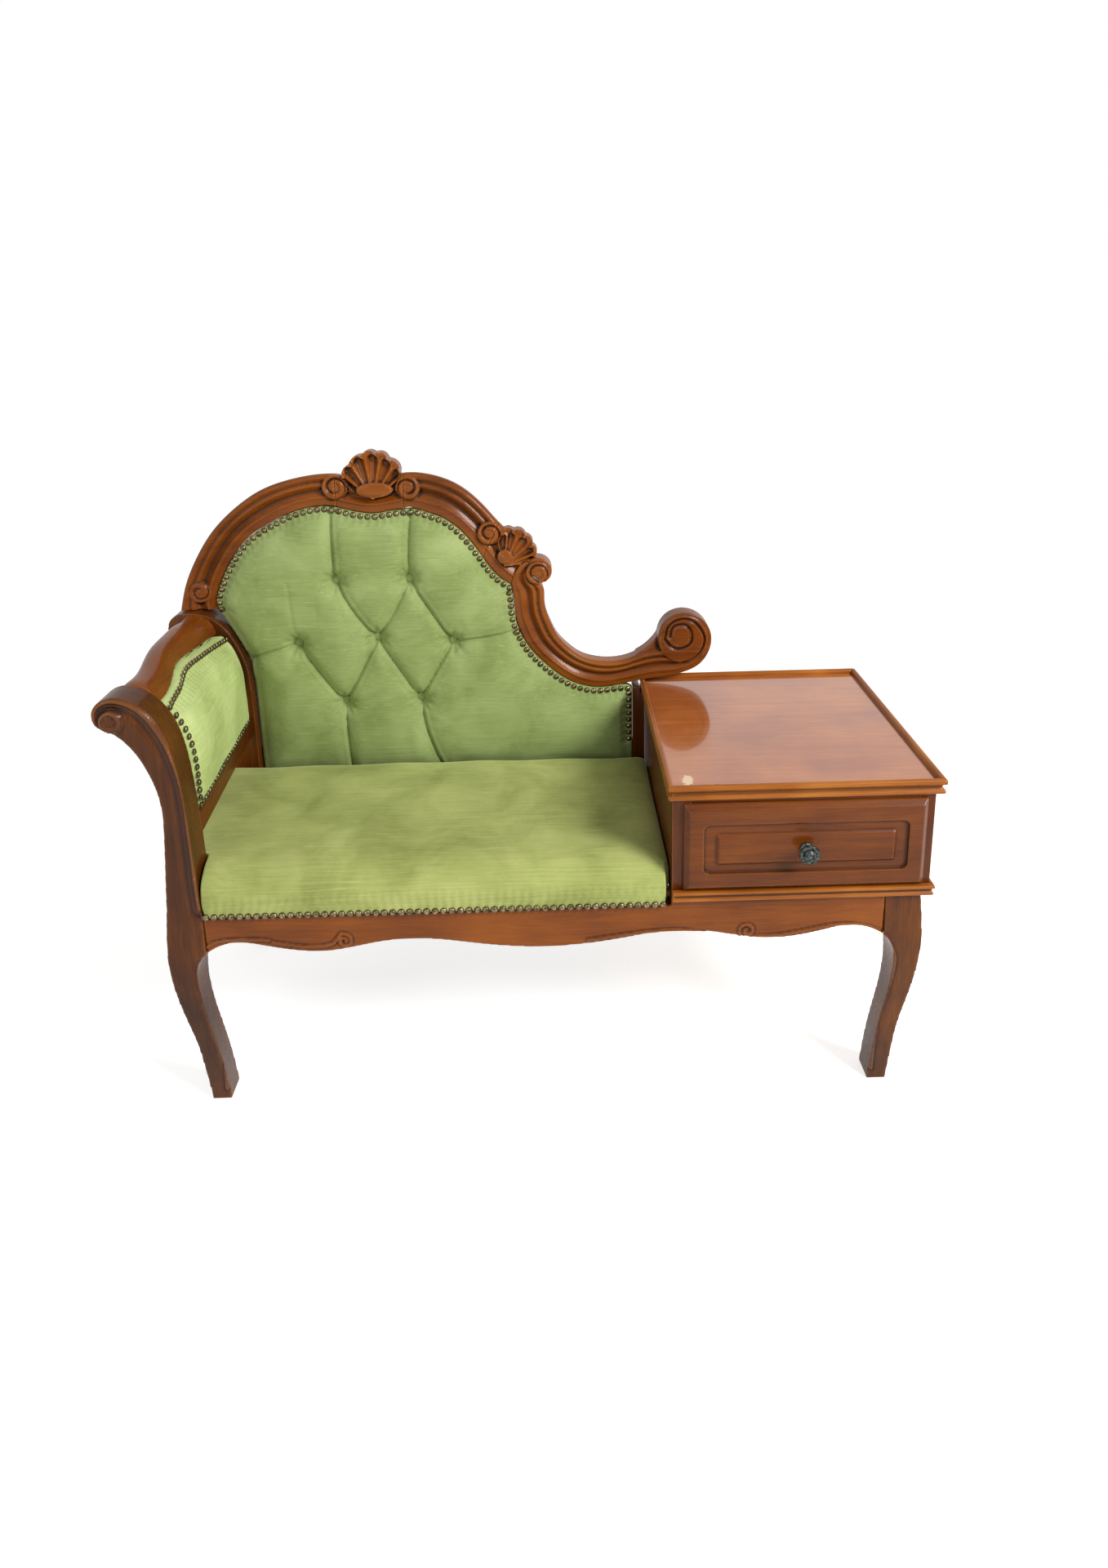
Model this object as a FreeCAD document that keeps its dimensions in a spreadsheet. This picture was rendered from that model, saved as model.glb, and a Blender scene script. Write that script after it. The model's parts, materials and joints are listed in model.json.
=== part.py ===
# A telephone bench: an upholstered seat with one scrolled arm and a buttoned, carved back,
# joined to a small table with a drawer. Millimetres, +Z up, the seat faces -Y, and the
# origin is on the floor under the middle of the bench's own box.

import FreeCAD, Part
import math
import os
import re

Vector = FreeCAD.Vector
Rotation = FreeCAD.Rotation
Placement = FreeCAD.Placement

doc = FreeCAD.newDocument("TelephoneBench")

# The driving dimensions
sheet = doc.addObject("Spreadsheet::Sheet", "Dim")
DIMENSIONS = [
    ("top_left", 206.0, "table top, left edge"),
    ("top_right", 594.0, "table top, right edge"),
    ("top_front", -200.0, "table top, front edge"),
    ("top_back", 233.0, "table top, back edge"),
    ("top_surface", 501.5, "height of the table's writing surface"),
    ("top_rim", 509.5, "height of the raised rim"),
    ("top_under", 486.3, "underside of the table top"),
    ("rim_wide", 10.0, "width of the edge moulding"),
    ("case_left", 214.0, "cabinet, left face"),
    ("case_right", 580.0, "cabinet, right face"),
    ("case_front", -194.0, "cabinet, front plane"),
    ("case_back", 223.0, "cabinet, back plane"),
    ("case_base", 331.0, "cabinet, underside, on the bench frame"),
    ("side_thick", 16.0, "cabinet side thickness"),
    ("face_thick", 18.0, "face frame thickness"),
    ("open_left", 240.0, "drawer opening, left"),
    ("open_right", 558.0, "drawer opening, right"),
    ("open_low", 356.0, "drawer opening, bottom"),
    ("open_high", 476.0, "drawer opening, top"),
    ("base_high", 17.0, "base moulding height"),
    ("base_out", 10.0, "base moulding projection at the front"),
    ("base_side_out", 6.0, "base moulding projection at the side"),
    ("front_mid", 399.0, "drawer front, middle across"),
    ("front_wide", 340.0, "drawer front, full width"),
    ("front_low", 349.3, "drawer front, bottom edge"),
    ("front_high", 482.0, "drawer front, top edge"),
    ("front_face", -206.0, "drawer front, face plane"),
    ("front_gap", 0.3, "running gap behind the drawer front and round the drawer"),
    ("bevel", 8.0, "bevel round the drawer front"),
    ("box_left", 244.0, "drawer box, left"),
    ("box_right", 554.0, "drawer box, right"),
    ("box_back", 190.0, "drawer box, back"),
    ("box_low", 358.3, "drawer box, bottom edge"),
    ("box_high", 464.0, "drawer box, top edge of the sides"),
    ("box_thick", 12.0, "drawer side thickness"),
    ("knob_radius", 14.5, "drawer knob radius"),
    ("knob_out", 28.2, "drawer knob projection from the sunk panel"),
    ("knob_high", 415.0, "drawer knob height"),
    ("leg_face", -196.0, "front legs, foremost plane"),
    ("leg_back", -140.0, "front legs, rear plane"),
    ("rail_thick", 24.0, "seat rail thickness"),
    ("rail_high", 331.0, "seat rails, top edge"),
    ("apron_face", -192.0, "front apron, face plane"),
    ("apron_left", -450.0, "front apron, shoulder at the left leg"),
    ("apron_right", 520.0, "front apron, shoulder at the right leg"),
    ("bench_mid", 35.0, "middle of the legs and apron"),
    ("seat_band", 320.0, "apron, top edge in front of the seat"),
    ("seat_nail_high", 325.5, "height of the seat's nail row"),
    ("seat_crown", 48.0, "rise of the seat pad's crown"),
    ("back_face", 195.0, "back frame, face plane"),
    ("back_rear", 233.0, "back frame, rear plane"),
    ("pad_room", 0.6, "room between the back pad and its frame"),
    ("back_crown", 20.0, "rise of the back pad's crown"),
    ("rear_post_face", 180.0, "rear arm post, face plane"),
    ("arm_splay", 0.06, "how far the arm spreads for each unit of depth"),
    ("nail_pitch", 12.0, "spacing of the upholstery nails"),
    ("nail_radius", 5.0, "radius of a nail's head"),
    ("button_radius", 9.0, "radius of a covered button"),
]
for row, (alias, value, note) in enumerate(DIMENSIONS, start=1):
    sheet.set("A%d" % row, note)
    sheet.set("B%d" % row, "%g" % value)
    sheet.setAlias("B%d" % row, alias)
doc.recompute()

subparts = []


def size(alias):
    """The value of one driving dimension."""
    return float(sheet.get(alias))


def bound(expression):
    """An expression written with bare aliases, as the sheet's own cells."""
    return re.sub(r"\b[a-z][a-z_]*\b", r"Dim.\g<0>", expression)


def keep(thing, node):
    """Name a finished sub-part and list it for writing."""
    thing.Label = node
    subparts.append(thing)
    return thing


def solid_feature(node, shape):
    """A sub-part whose form only a loft, a crowned surface or a group of solids gives."""
    thing = doc.addObject("Part::Feature", node + "_form")
    thing.Shape = shape
    thing.Placement = Placement()
    return keep(thing, node)


def box(name, x_range, y_range, z_range):
    """A box between two expressions along each axis."""
    thing = doc.addObject("Part::Box", name)
    for axis, length, (low, high) in (("x", "Length", x_range), ("y", "Width", y_range),
                                      ("z", "Height", z_range)):
        thing.setExpression(length, bound("(%s) - (%s)" % (high, low)))
        thing.setExpression(".Placement.Base." + axis, bound(low))
    return thing


def board(node, x_range, y_range, z_range):
    return keep(box(node + "_board", x_range, y_range, z_range), node)


def boolean(kind, name, base, tool):
    thing = doc.addObject("Part::" + kind, name)
    thing.Base = base
    thing.Tool = tool
    return thing


def plain_group(name, shapes):
    """Several equal pieces in one node, each a solid of its own."""
    return solid_feature(name, Part.makeCompound(shapes))


# Outlines are lists of stretches. Two points make a line, three or more a smooth curve, and
# each stretch starts where the last one ended.
def stretch_curve(points):
    vectors = [Vector(*point) for point in points]
    if len(vectors) == 2:
        return Part.LineSegment(vectors[0], vectors[1])
    curve = Part.BSplineCurve()
    curve.interpolate(vectors)
    return curve


def sketched_body(name, plane, stretches, offset, length, forward=False):
    """A body with one pad of an outline drawn on an origin plane."""
    body = doc.addObject("PartDesign::Body", name)
    sketch = body.newObject("Sketcher::SketchObject", name + "_outline")
    support = [f for f in body.Origin.OriginFeatures if f.Role == plane][0]
    sketch.AttachmentSupport = (support, [""])
    sketch.MapMode = "FlatFace"
    sketch.setExpression(".AttachmentOffset.Base.z", bound(offset))
    for points in stretches:
        sketch.addGeometry(stretch_curve([(a, b, 0.0) for a, b in points]), False)
    pad = body.newObject("PartDesign::Pad", name + "_pad")
    pad.Profile = sketch
    pad.setExpression("Length", bound(length))
    pad.Reversed = forward
    body.Tip = pad
    return body


def sawn_front(name, stretches, front, back):
    """A piece sawn to an outline seen from the front, between two depths."""
    return sketched_body(name, "XZ_Plane", stretches, "-(%s)" % front,
                         "(%s) - (%s)" % (back, front), forward=True)


def sawn_side(name, stretches, left, right):
    """A piece sawn to an outline seen from the side, between two places across."""
    return sketched_body(name, "YZ_Plane", stretches, left, "(%s) - (%s)" % (right, left))


def mirrored(stretches, middle):
    """The same outline turned over about a vertical line."""
    return [[(2.0 * middle - a, b) for a, b in points] for points in stretches]


# The front legs. Each is sawn twice, to the outline from the front and to the one from the
# side, which gives the cabriole knee and the forward foot.
FOOT_OUTER = (-474.5, 0.0)
FOOT_INNER = (-446.0, 0.0)
LEG_OUTER = [FOOT_OUTER, (-476.0, 22), (-478.5, 58), (-481, 88), (-485, 116), (-491.5, 148),
             (-498.5, 184), (-503.5, 222), (-505, 255), (-503.5, 292), (-499.5, 335)]
LEG_INNER = [(-450.0, 264.0), (-457.5, 257), (-463.5, 245), (-466.5, 228), (-466.5, 200),
             (-464, 170), (-460, 140), (-455.5, 108), (-451.5, 75), (-448.5, 38), FOOT_INNER]
POST_OUTER = [LEG_OUTER[-1], (-494, 397), (-489.5, 448), (-487.5, 486), (-491, 520), (-498, 544),
              (-507, 566), (-518.5, 585), (-531, 599), (-544, 608)]
SCROLL = [POST_OUTER[-1], (-555, 612.5), (-562, 622), (-564, 634), (-559, 646), (-548, 654),
          (-533, 657), (-517, 653), (-502, 645)]
POST_INNER = [SCROLL[-1], (-487, 630.5), (-475.5, 612), (-466, 585), (-460.5, 555), (-457, 515),
              (-454, 455), (-452.5, 390), (-450, 331)]
SIDE_FRONT = [(-175.0, 0.0), (-177, 25), (-181, 62), (-185, 105), (-190, 155), (-194, 205),
              (-196, 245), (-195, 285), (-192, 331)]
SIDE_BACK = [(-140.0, 262.0), (-143, 240), (-148, 205), (-149, 160), (-145, 110), (-139, 55),
             (-135, 0)]


POST_LIMIT = 670.0


def front_leg(node, stretches, left, right):
    front = sawn_front(node + "_front", stretches, "leg_face - 4", "leg_back + 6")
    side = sawn_side(node + "_side", [
        SIDE_FRONT,
        [SIDE_FRONT[-1], (SIDE_FRONT[-1][0], POST_LIMIT)],
        [(SIDE_FRONT[-1][0], POST_LIMIT), (size("leg_back"), POST_LIMIT)],
        [(size("leg_back"), POST_LIMIT), SIDE_BACK[0]],
        SIDE_BACK,
        [SIDE_BACK[-1], SIDE_FRONT[0]],
    ], left, right)
    return keep(boolean("Common", node + "_sawn", front, side), node)


front_leg("front_left_post", [
    LEG_OUTER, POST_OUTER, SCROLL, POST_INNER,
    [POST_INNER[-1], LEG_INNER[0]],
    LEG_INNER,
    [FOOT_INNER, FOOT_OUTER],
], "0 - 620", "0 - 400")

LEG_TOP = size("case_base")
short_leg = [
    LEG_OUTER[:-1] + [(-500.0, LEG_TOP)],
    [(-500.0, LEG_TOP), (-450.0, LEG_TOP)],
    [(-450.0, LEG_TOP), LEG_INNER[0]],
    LEG_INNER,
    [FOOT_INNER, FOOT_OUTER],
]
front_leg("front_right_leg", mirrored(short_leg, size("bench_mid")), "480", "620")

# The rear legs kick back a little. The left one runs up to the arm and ends in its own scroll.
REAR_POST_INNER = [(-493.0, 622.0), (-478, 592), (-467.5, 560), (-464, 520), (-463.5, 470),
                   (-463.5, 400), (-463.5, 331)]
REAR_SCROLL = [(-570.0, 607.0), (-583, 611), (-592, 621), (-594, 633), (-589, 646), (-578, 654),
               (-563, 657), (-545, 656.5), (-523, 650), (-507, 638), (-493, 622)]
rear_left = sawn_front("rear_left_front", [
    [(-514.0, 0.0), (-516, 70), (-522, 160), (-528, 250), (-530, 335), (-526, 400), (-521, 450),
     (-520, 490), (-526, 535), (-538, 570), (-552, 595), (-570, 607)],
    REAR_SCROLL,
    REAR_POST_INNER,
    [REAR_POST_INNER[-1], (-470.0, 262.0)],
    [(-470.0, 262.0), (-476, 180), (-483, 80), (-486, 0)],
    [(-486.0, 0.0), (-514.0, 0.0)],
], "rear_post_face - 10", "back_rear + 10")
REAR_SIDE = [
    [(203.0, 0.0), (200, 70), (192, 170), (184, 262), (180, 331)],
    [(180.0, 331.0), (180.0, POST_LIMIT)],
    [(180.0, POST_LIMIT), (233.0, POST_LIMIT)],
    [(233.0, POST_LIMIT), (233.0, 331.0)],
    [(233.0, 331.0), (229, 250), (226, 170), (229, 70), (233, 0)],
    [(233.0, 0.0), (203.0, 0.0)],
]
rear_side = sawn_side("rear_left_side", REAR_SIDE, "0 - 620", "0 - 400")
rear_left_post = boolean("Common", "rear_left_sawn", rear_left, rear_side)
keep(rear_left_post, "rear_left_post")

rear_right = sawn_front("rear_right_front", [
    [(580.0, 331.0), (579, 250), (574, 160), (568, 70), (566, 0)],
    [(566.0, 0.0), (538.0, 0.0)],
    [(538.0, 0.0), (536, 80), (533, 180), (530, 262)],
    [(530.0, 262.0), (530.0, 331.0)],
    [(530.0, 331.0), (580.0, 331.0)],
], "rear_post_face - 10", "back_rear + 10")
rear_side_two = sawn_side("rear_right_side", REAR_SIDE, "500", "620")
rear_right_leg = boolean("Common", "rear_right_sawn", rear_right, rear_side_two)
keep(rear_right_leg, "rear_right_leg")

# The front apron: a serpentine lower edge, the same on both sides of its middle, a step where
# the table begins and a groove under the nail row.
APRON_EDGE = [(0, 259), (45, 261), (95, 267), (145, 275), (190, 278.5), (235, 275.5), (275, 268),
              (315, 262.5), (350, 264), (385, 270), (420, 278), (446, 280), (468, 274),
              (485, 264)]
right_edge = [(size("bench_mid") + a, b) for a, b in APRON_EDGE]
left_edge = [(size("bench_mid") - a, b) for a, b in reversed(APRON_EDGE)]
apron_x0 = size("apron_left")
apron_x1 = size("apron_right")
step_x = size("top_left") + 8.0
apron_blank = sawn_front("apron_blank", [
    left_edge[:-1] + right_edge,
    [(apron_x1, 264.0), (apron_x1, size("rail_high"))],
    [(apron_x1, size("rail_high")), (step_x, size("rail_high"))],
    [(step_x, size("rail_high")), (step_x, size("seat_band"))],
    [(step_x, size("seat_band")), (apron_x0, size("seat_band"))],
    [(apron_x0, size("seat_band")), (apron_x0, 264.0)],
], "apron_face", "apron_face + rail_thick")
groove = doc.addObject("Part::Cylinder", "apron_groove")
groove.Radius = 1.6
groove.setExpression("Height", bound("apron_right - apron_left + 40"))
groove.Placement = Placement(Vector(), Rotation(Vector(0, 1, 0), 90))
groove.setExpression(".Placement.Base.x", bound("apron_left - 20"))
groove.setExpression(".Placement.Base.y", bound("apron_face - 0.4"))
groove.setExpression(".Placement.Base.z", bound("seat_band - 3.5"))
keep(boolean("Cut", "apron_grooved", apron_blank, groove), "front_apron")


# Straight rails that spread with the arm: a loft between two upright rectangles
def splayed_rail(y_front, y_back, x_front, x_back, z_low, z_high, radius):
    sections = []
    for y, (left, right) in ((y_front, x_front), (y_back, x_back)):
        corners = [Vector(left, y, z_low), Vector(right, y, z_low),
                   Vector(right, y, z_high), Vector(left, y, z_high)]
        sections.append(Part.makePolygon(corners + corners[:1]))
    shape = Part.makeLoft(sections, True, True)
    along = [e for e in shape.Edges if abs(e.Vertexes[0].Y - e.Vertexes[-1].Y) > 10.0]
    return shape.makeFillet(radius, along)


doc.recompute()
left_rail = splayed_rail(size("leg_back"), 186.0, (-479.0, -455.0), (-508.0, -484.0),
                         266.0, size("rail_high"), 1.5)
solid_feature("left_seat_rail", left_rail.cut(rear_left_post.Shape))
board("rear_seat_rail", ("0 - 463.5", "530"), ("200", "200 + rail_thick"),
      ("268", "rail_high"))
right_rail = box("right_rail_blank", ("548", "548 + rail_thick"), ("leg_back", "186"),
                 ("268", "rail_high"))
keep(boolean("Cut", "right_rail_shouldered", right_rail, rear_right_leg), "right_seat_rail")
board("seat_cross_rail", ("190", "214"), ("apron_face + rail_thick", "200"),
      ("290", "rail_high - 3"))


# Corner blocks glued and screwed inside the seat frame
def corner_block(x, y, x_way, y_way):
    leg = 46.0
    points = [Vector(x, y, 285), Vector(x + x_way * leg, y, 285), Vector(x, y + y_way * leg, 285)]
    return Part.Face(Part.makePolygon(points + points[:1])).extrude(Vector(0, 0, 26))


inside_front = size("apron_face") + size("rail_thick")
plain_group("corner_blocks", [
    corner_block(-449.5, inside_front, 1, 1),
    corner_block(190, inside_front, -1, 1),
    corner_block(214, inside_front, 1, 1),
    corner_block(519.5, inside_front, -1, 1),
    corner_block(-463.0, 200, 1, -1),
    corner_block(190, 200, -1, -1),
    corner_block(214, 200, 1, -1),
    corner_block(529.5, 200, -1, -1),
])

# Webbing straps under the seat pad: four run across the seat and lie on six that run back
strap_thick = 1.8
across = [Part.makeBox(662.0, 48.0, strap_thick, Vector(-474, y, 322.0))
          for y in (-126, -52, 22, 96)]
back_straps = [Part.makeBox(48.0, 366.0, strap_thick, Vector(x, -167.5, 320.1))
               for x in (-436, -334, -232, -130, -28, 74)]
webbing_room = Part.makeBox(637.0, 367.0, 8.0, Vector(-448.5, -167.8, 318.0))
plain_group("seat_webbing", [strap.common(webbing_room) for strap in across + back_straps])
board("dust_cover", ("0 - 448", "189.7"), ("apron_face + rail_thick + 0.3", "199.7"),
      ("281", "282.2"))


# Crowned upholstery. The face is a smooth surface through a grid of heights, and the pad is
# the part of the block under that face inside the outline.
def outline_wire(stretches, place):
    edges = []
    for points in stretches:
        edges.append(stretch_curve([place(a, b) for a, b in points]).toShape())
    return Part.Wire(Part.__sortEdges__(edges))


def edge_distance(samples, a, b):
    return min(math.hypot(a - p, b - q) for p, q in samples)


def grid_values(low, high, step):
    count = max(4, int(math.ceil((high - low) / step)))
    return [low + (high - low) * i / count for i in range(count + 1)]


def crowned_pad(stretches, place, height, step, base, way):
    """place(a, b, c) puts outline coordinates and a height into space; way points into the
    pad from its face; base is the height of the flat rear face."""
    flat = outline_wire(stretches, lambda a, b: (a, b, 0.0))
    samples = [(v.x, v.y) for v in flat.discretize(Distance=6.0)]
    limits = flat.BoundBox
    rows = []
    for a in grid_values(limits.XMin - 8, limits.XMax + 8, step):
        row = []
        for b in grid_values(limits.YMin - 8, limits.YMax + 8, step):
            row.append(place(a, b, height(a, b, edge_distance(samples, a, b))))
        rows.append(row)
    surface = Part.BSplineSurface()
    surface.interpolate(rows)
    block = surface.toShape().extrude(way * 160.0)
    outline = outline_wire(stretches, lambda a, b: tuple(place(a, b, base)))
    prism = Part.Face(outline).extrude(way * -140.0)
    return block.common(prism)


def crown(distance, rise, run):
    return rise * (1.0 - math.exp(-distance / run))


# The seat pad wraps round the left post and ends at the table
SEAT_EDGE_HIGH = 344.0
SEAT_BASE = 331.2
seat_outline = [
    [(-449.5, -196.0), (207.0, -196.0)],
    [(207.0, -196.0), (207.0, -168.0)],
    [(207.0, -168.0), (213.5, -168.0)],
    [(213.5, -168.0), (213.5, 168.0)],
    [(213.5, 168.0), (-462.5, 168.0)],
    [(-462.5, 168.0), (-506.0, 168.0)],
    [(-506.0, 168.0), (-477.5, -139.5)],
    [(-477.5, -139.5), (-449.5, -139.5)],
    [(-449.5, -139.5), (-449.5, -196.0)],
]


def seat_height(x, y, distance):
    rise = crown(distance, size("seat_crown"), 24.0)
    middle = 6.0 * math.cos(math.pi * (x + 120.0) / 720.0) * math.cos(math.pi * y / 380.0)
    return SEAT_EDGE_HIGH + rise + middle


seat_pad = crowned_pad(seat_outline, lambda x, y, z: Vector(x, y, z), seat_height, 14.0,
                       SEAT_BASE, Vector(0, 0, -1))
front_skirt = Part.makeBox(656.5, 3.7, 11.4, Vector(-449.5, -196.0, 320.2))
seat_pad = seat_pad.fuse(front_skirt).removeSplitter()
solid_feature("seat_pad", seat_pad)

# The back frame: carved members, each a loft of one moulding section through stations whose
# two edges follow the outside and the inside of the frame.
MOULDING = [
    [(0.00, 8.0), (0.04, 3.2), (0.10, 0.4), (0.17, 1.6), (0.25, 6.0)],
    [(0.25, 6.0), (0.29, 3.2), (0.34, 2.0), (0.40, 3.8), (0.54, 10.5), (0.66, 6.6), (0.70, 5.4)],
    [(0.70, 5.4), (0.735, 3.0), (0.78, 4.6)],
    [(0.78, 4.6), (1.00, 5.4)],
]


def moulding_section(outer, inner, face, rear, rear_inset):
    """The closed section at one station, seen along the member. The rear face is narrower
    than the front one by the inset."""
    width = math.hypot(inner[0] - outer[0], inner[1] - outer[1])
    scale = min(1.0, width / 50.0)
    share = rear_inset / width

    def place(u, depth):
        return (outer[0] + u * (inner[0] - outer[0]), face + depth * scale,
                outer[1] + u * (inner[1] - outer[1]))

    stretches = [[place(u, depth) for u, depth in run] for run in MOULDING]
    rear_inner = (inner[0], rear, inner[1])
    rear_outer = (outer[0] + share * (inner[0] - outer[0]), rear,
                  outer[1] + share * (inner[1] - outer[1]))
    stretches.append([stretches[-1][-1], rear_inner])
    stretches.append([rear_inner, rear_outer])
    stretches.append([rear_outer, stretches[0][0]])
    return Part.Wire([stretch_curve(points).toShape() for points in stretches])


def carved_member(stations, face, rear, rear_inset=5.0):
    sections = [moulding_section(outer, inner, face, rear, rear_inset)
                for outer, inner in stations]
    return Part.makeLoft(sections, True, False)


BACK_FACE = size("back_face")
BACK_REAR = size("back_rear")
LEFT_ARCH = [
    ((-577.0, 657.2), (-511.0, 657.2)),
    ((-572, 676), (-514, 674)),
    ((-563, 704), (-506, 699)),
    ((-551, 730), (-498, 717)),
    ((-533, 761), (-487, 736)),
    ((-513, 789), (-473, 757)),
    ((-486, 817), (-456, 776)),
    ((-456, 841), (-437, 791)),
    ((-423, 861), (-412, 805)),
    ((-388, 874), (-384, 819)),
    ((-353, 882), (-352, 829)),
    ((-320, 886), (-322, 833)),
    ((-298, 886), (-298, 830)),
]
CREST = [
    ((-298.0, 886.0), (-298.0, 830.0)),
    ((-279, 880), (-277, 824)),
    ((-262, 876), (-259, 820)),
    ((-240, 874), (-240, 818)),
    ((-220, 876), (-221, 820)),
    ((-203, 880), (-206, 822.5)),
    ((-184, 885), (-188, 824)),
]
RIGHT_ARCH = [
    ((-184.0, 885.0), (-188.0, 824.0)),
    ((-158, 884), (-166, 823.5)),
    ((-131, 878), (-146, 817)),
    ((-105, 867.5), (-124, 808)),
    ((-84, 854), (-104, 794)),
    ((-65, 837), (-87, 777)),
    ((-47, 817), (-72, 757.5)),
    ((-30, 797), (-59, 738)),
]
SHOULDER = [
    ((-30.0, 797.0), (-59.0, 738.0)),
    ((-14, 779), (-47, 719)),
    ((3, 758), (-33, 703)),
    ((20, 738), (-19, 692.5)),
    ((27, 731), (-13, 689)),
]
solid_feature("back_left_arch", carved_member(LEFT_ARCH, BACK_FACE, BACK_REAR))
solid_feature("back_right_arch", carved_member(RIGHT_ARCH, BACK_FACE, BACK_REAR))


# Carved shells: a block with a scalloped rim, and tapered flutes that spread from its foot
def fluted_shell(foot, rim, foot_arc, face, rear, flute_radius):
    """foot is where the flutes meet, rim the points between the scallops."""
    edges = []
    for first, second in zip(rim[:-1], rim[1:]):
        middle = ((first[0] + second[0]) / 2.0, (first[1] + second[1]) / 2.0)
        out = (middle[0] - foot[0], middle[1] - foot[1])
        far = math.hypot(*out)
        bulge = 0.24 * math.hypot(second[0] - first[0], second[1] - first[1])
        top = (middle[0] + out[0] / far * bulge, middle[1] + out[1] / far * bulge)
        edges.append(Part.Arc(Vector(first[0], face, first[1]), Vector(top[0], face, top[1]),
                              Vector(second[0], face, second[1])).toShape())
    edges.append(Part.Arc(Vector(rim[-1][0], face, rim[-1][1]),
                          Vector(foot_arc[0], face, foot_arc[1]),
                          Vector(rim[0][0], face, rim[0][1])).toShape())
    block = Part.Face(Part.Wire(edges)).extrude(Vector(0, rear - face, 0))
    for first, second in zip(rim[:-1], rim[1:]):
        middle = Vector((first[0] + second[0]) / 2.0, face - 1.0, (first[1] + second[1]) / 2.0)
        start = Vector(foot[0], face - 0.5, foot[1])
        along = middle - start
        reach = along.Length * 1.5
        cone = Part.makeCone(1.2, flute_radius * 1.5, reach, start, along)
        block = block.cut(cone)
    return block


crest_shell = fluted_shell(
    (-239.0, 838.0),
    [(-285.0, 882.0), (-272, 900), (-252, 915.5), (-229, 919), (-208, 908), (-190, 885)],
    (-239.0, 847.0), BACK_FACE - 6.0, BACK_REAR - 10.0, 8.0)
crest = carved_member(CREST, BACK_FACE, BACK_REAR).fuse(crest_shell)
solid_feature("back_crest_rail", crest)

# The sweep: the rail that falls from the shoulder and runs out over the table. Each end
# winds into a scroll round an eye.
def polar(centre, radius, degrees):
    turn = math.radians(degrees)
    return (centre[0] + radius * math.cos(turn), centre[1] + radius * math.sin(turn))


SMALL_EYE = (35.0, 709.0)
GREAT_EYE = (277.0, 588.0)
small_scroll = [(polar(SMALL_EYE, 8.5, a), polar(SMALL_EYE, rim, a))
                for a, rim in ((-95, 17.5), (-55, 19), (-10, 21), (35, 23), (80, 25),
                               (120, 28), (155, 34))]
SWEEP = [
    ((23.0, 712.0), (-8.0, 706.0)),
    ((25, 699), (-13, 689)),
    ((40, 684), (-11.5, 675)),
    ((43, 664), (-9, 655)),
    ((46, 639), (-7, 629)),
    ((54, 616), (0, 605)),
    ((65, 593), (10, 583)),
    ((81, 574), (24, 563)),
    ((100, 558), (42, 544)),
    ((119, 549.5), (66, 523)),
    ((142, 545), (98, 505)),
    ((164, 545), (134, 498)),
    ((185, 549), (166, 501)),
    ((206, 557), (194, 506)),
    ((226, 562), (222, 511)),
]
GREAT_RIMS = [(-92, 27, 68.5), (-62, 24, 62.5), (-30, 22, 57), (4, 20, 52.5), (40, 18, 47.5),
              (76, 16, 43.5), (112, 15, 41), (146, 14, 39.5), (176, 13, 39.5)]
great_scroll = [((252.0, 563.0), (247.0, 514.0))]
great_scroll += [(polar(GREAT_EYE, inner, a), polar(GREAT_EYE, outer, a))
                 for a, inner, outer in GREAT_RIMS]
GREAT_OUTLINE = [
    (200.0, 511.5), (222, 512), (247, 515.5), (272, 520.5), (290, 526.5), (305, 536),
    (318, 549.5), (325.5, 562), (328, 578), (326, 593), (321, 605), (311, 615.5), (297, 624),
    (281.5, 629), (267, 627.5), (254, 619.5), (243.5, 606), (238, 592), (225, 574), (200, 556),
]
back_plate_face = BACK_FACE + 9.0


def plate(points, face, rear):
    """A flat plate behind carving: one smooth edge closed by a line."""
    edges = [stretch_curve([(a, face, b) for a, b in points]).toShape(),
             Part.LineSegment(Vector(points[-1][0], face, points[-1][1]),
                              Vector(points[0][0], face, points[0][1])).toShape()]
    return Part.Face(Part.Wire(edges)).extrude(Vector(0, rear - face, 0))


def eye(centre, radius, face, rear):
    return Part.makeCylinder(radius, rear - face, Vector(centre[0], face, centre[1]),
                             Vector(0, 1, 0))


sweep = carved_member(small_scroll + SWEEP + great_scroll, BACK_FACE, BACK_REAR, 2.0)
sweep = sweep.multiFuse([
    plate(GREAT_OUTLINE, back_plate_face, BACK_REAR),
    eye(GREAT_EYE, 15.0, BACK_FACE + 1.0, BACK_REAR),
    eye(SMALL_EYE, 10.5, BACK_FACE - 1.0, BACK_REAR),
])
table_corner = Part.makeBox(160.0, 60.0, 60.0, Vector(size("top_left") - 0.1, 180.0, 450.1))
sweep = sweep.cut(table_corner)
solid_feature("back_sweep_rail", sweep)

# The shoulder carries a second shell and is fitted against the sweep's small scroll
shoulder_shell = fluted_shell(
    (-26.0, 714.0),
    [(-27.0, 782.0), (-6, 784), (14, 775), (25, 758), (30, 739)],
    (-11.0, 730.0), BACK_FACE - 4.0, BACK_REAR - 12.0, 8.0)
shoulder = carved_member(SHOULDER, BACK_FACE, BACK_REAR).fuse(shoulder_shell)
pieces = shoulder.cut(sweep).Solids
solid_feature("back_shoulder_block", max(pieces, key=lambda piece: piece.Volume))

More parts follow.
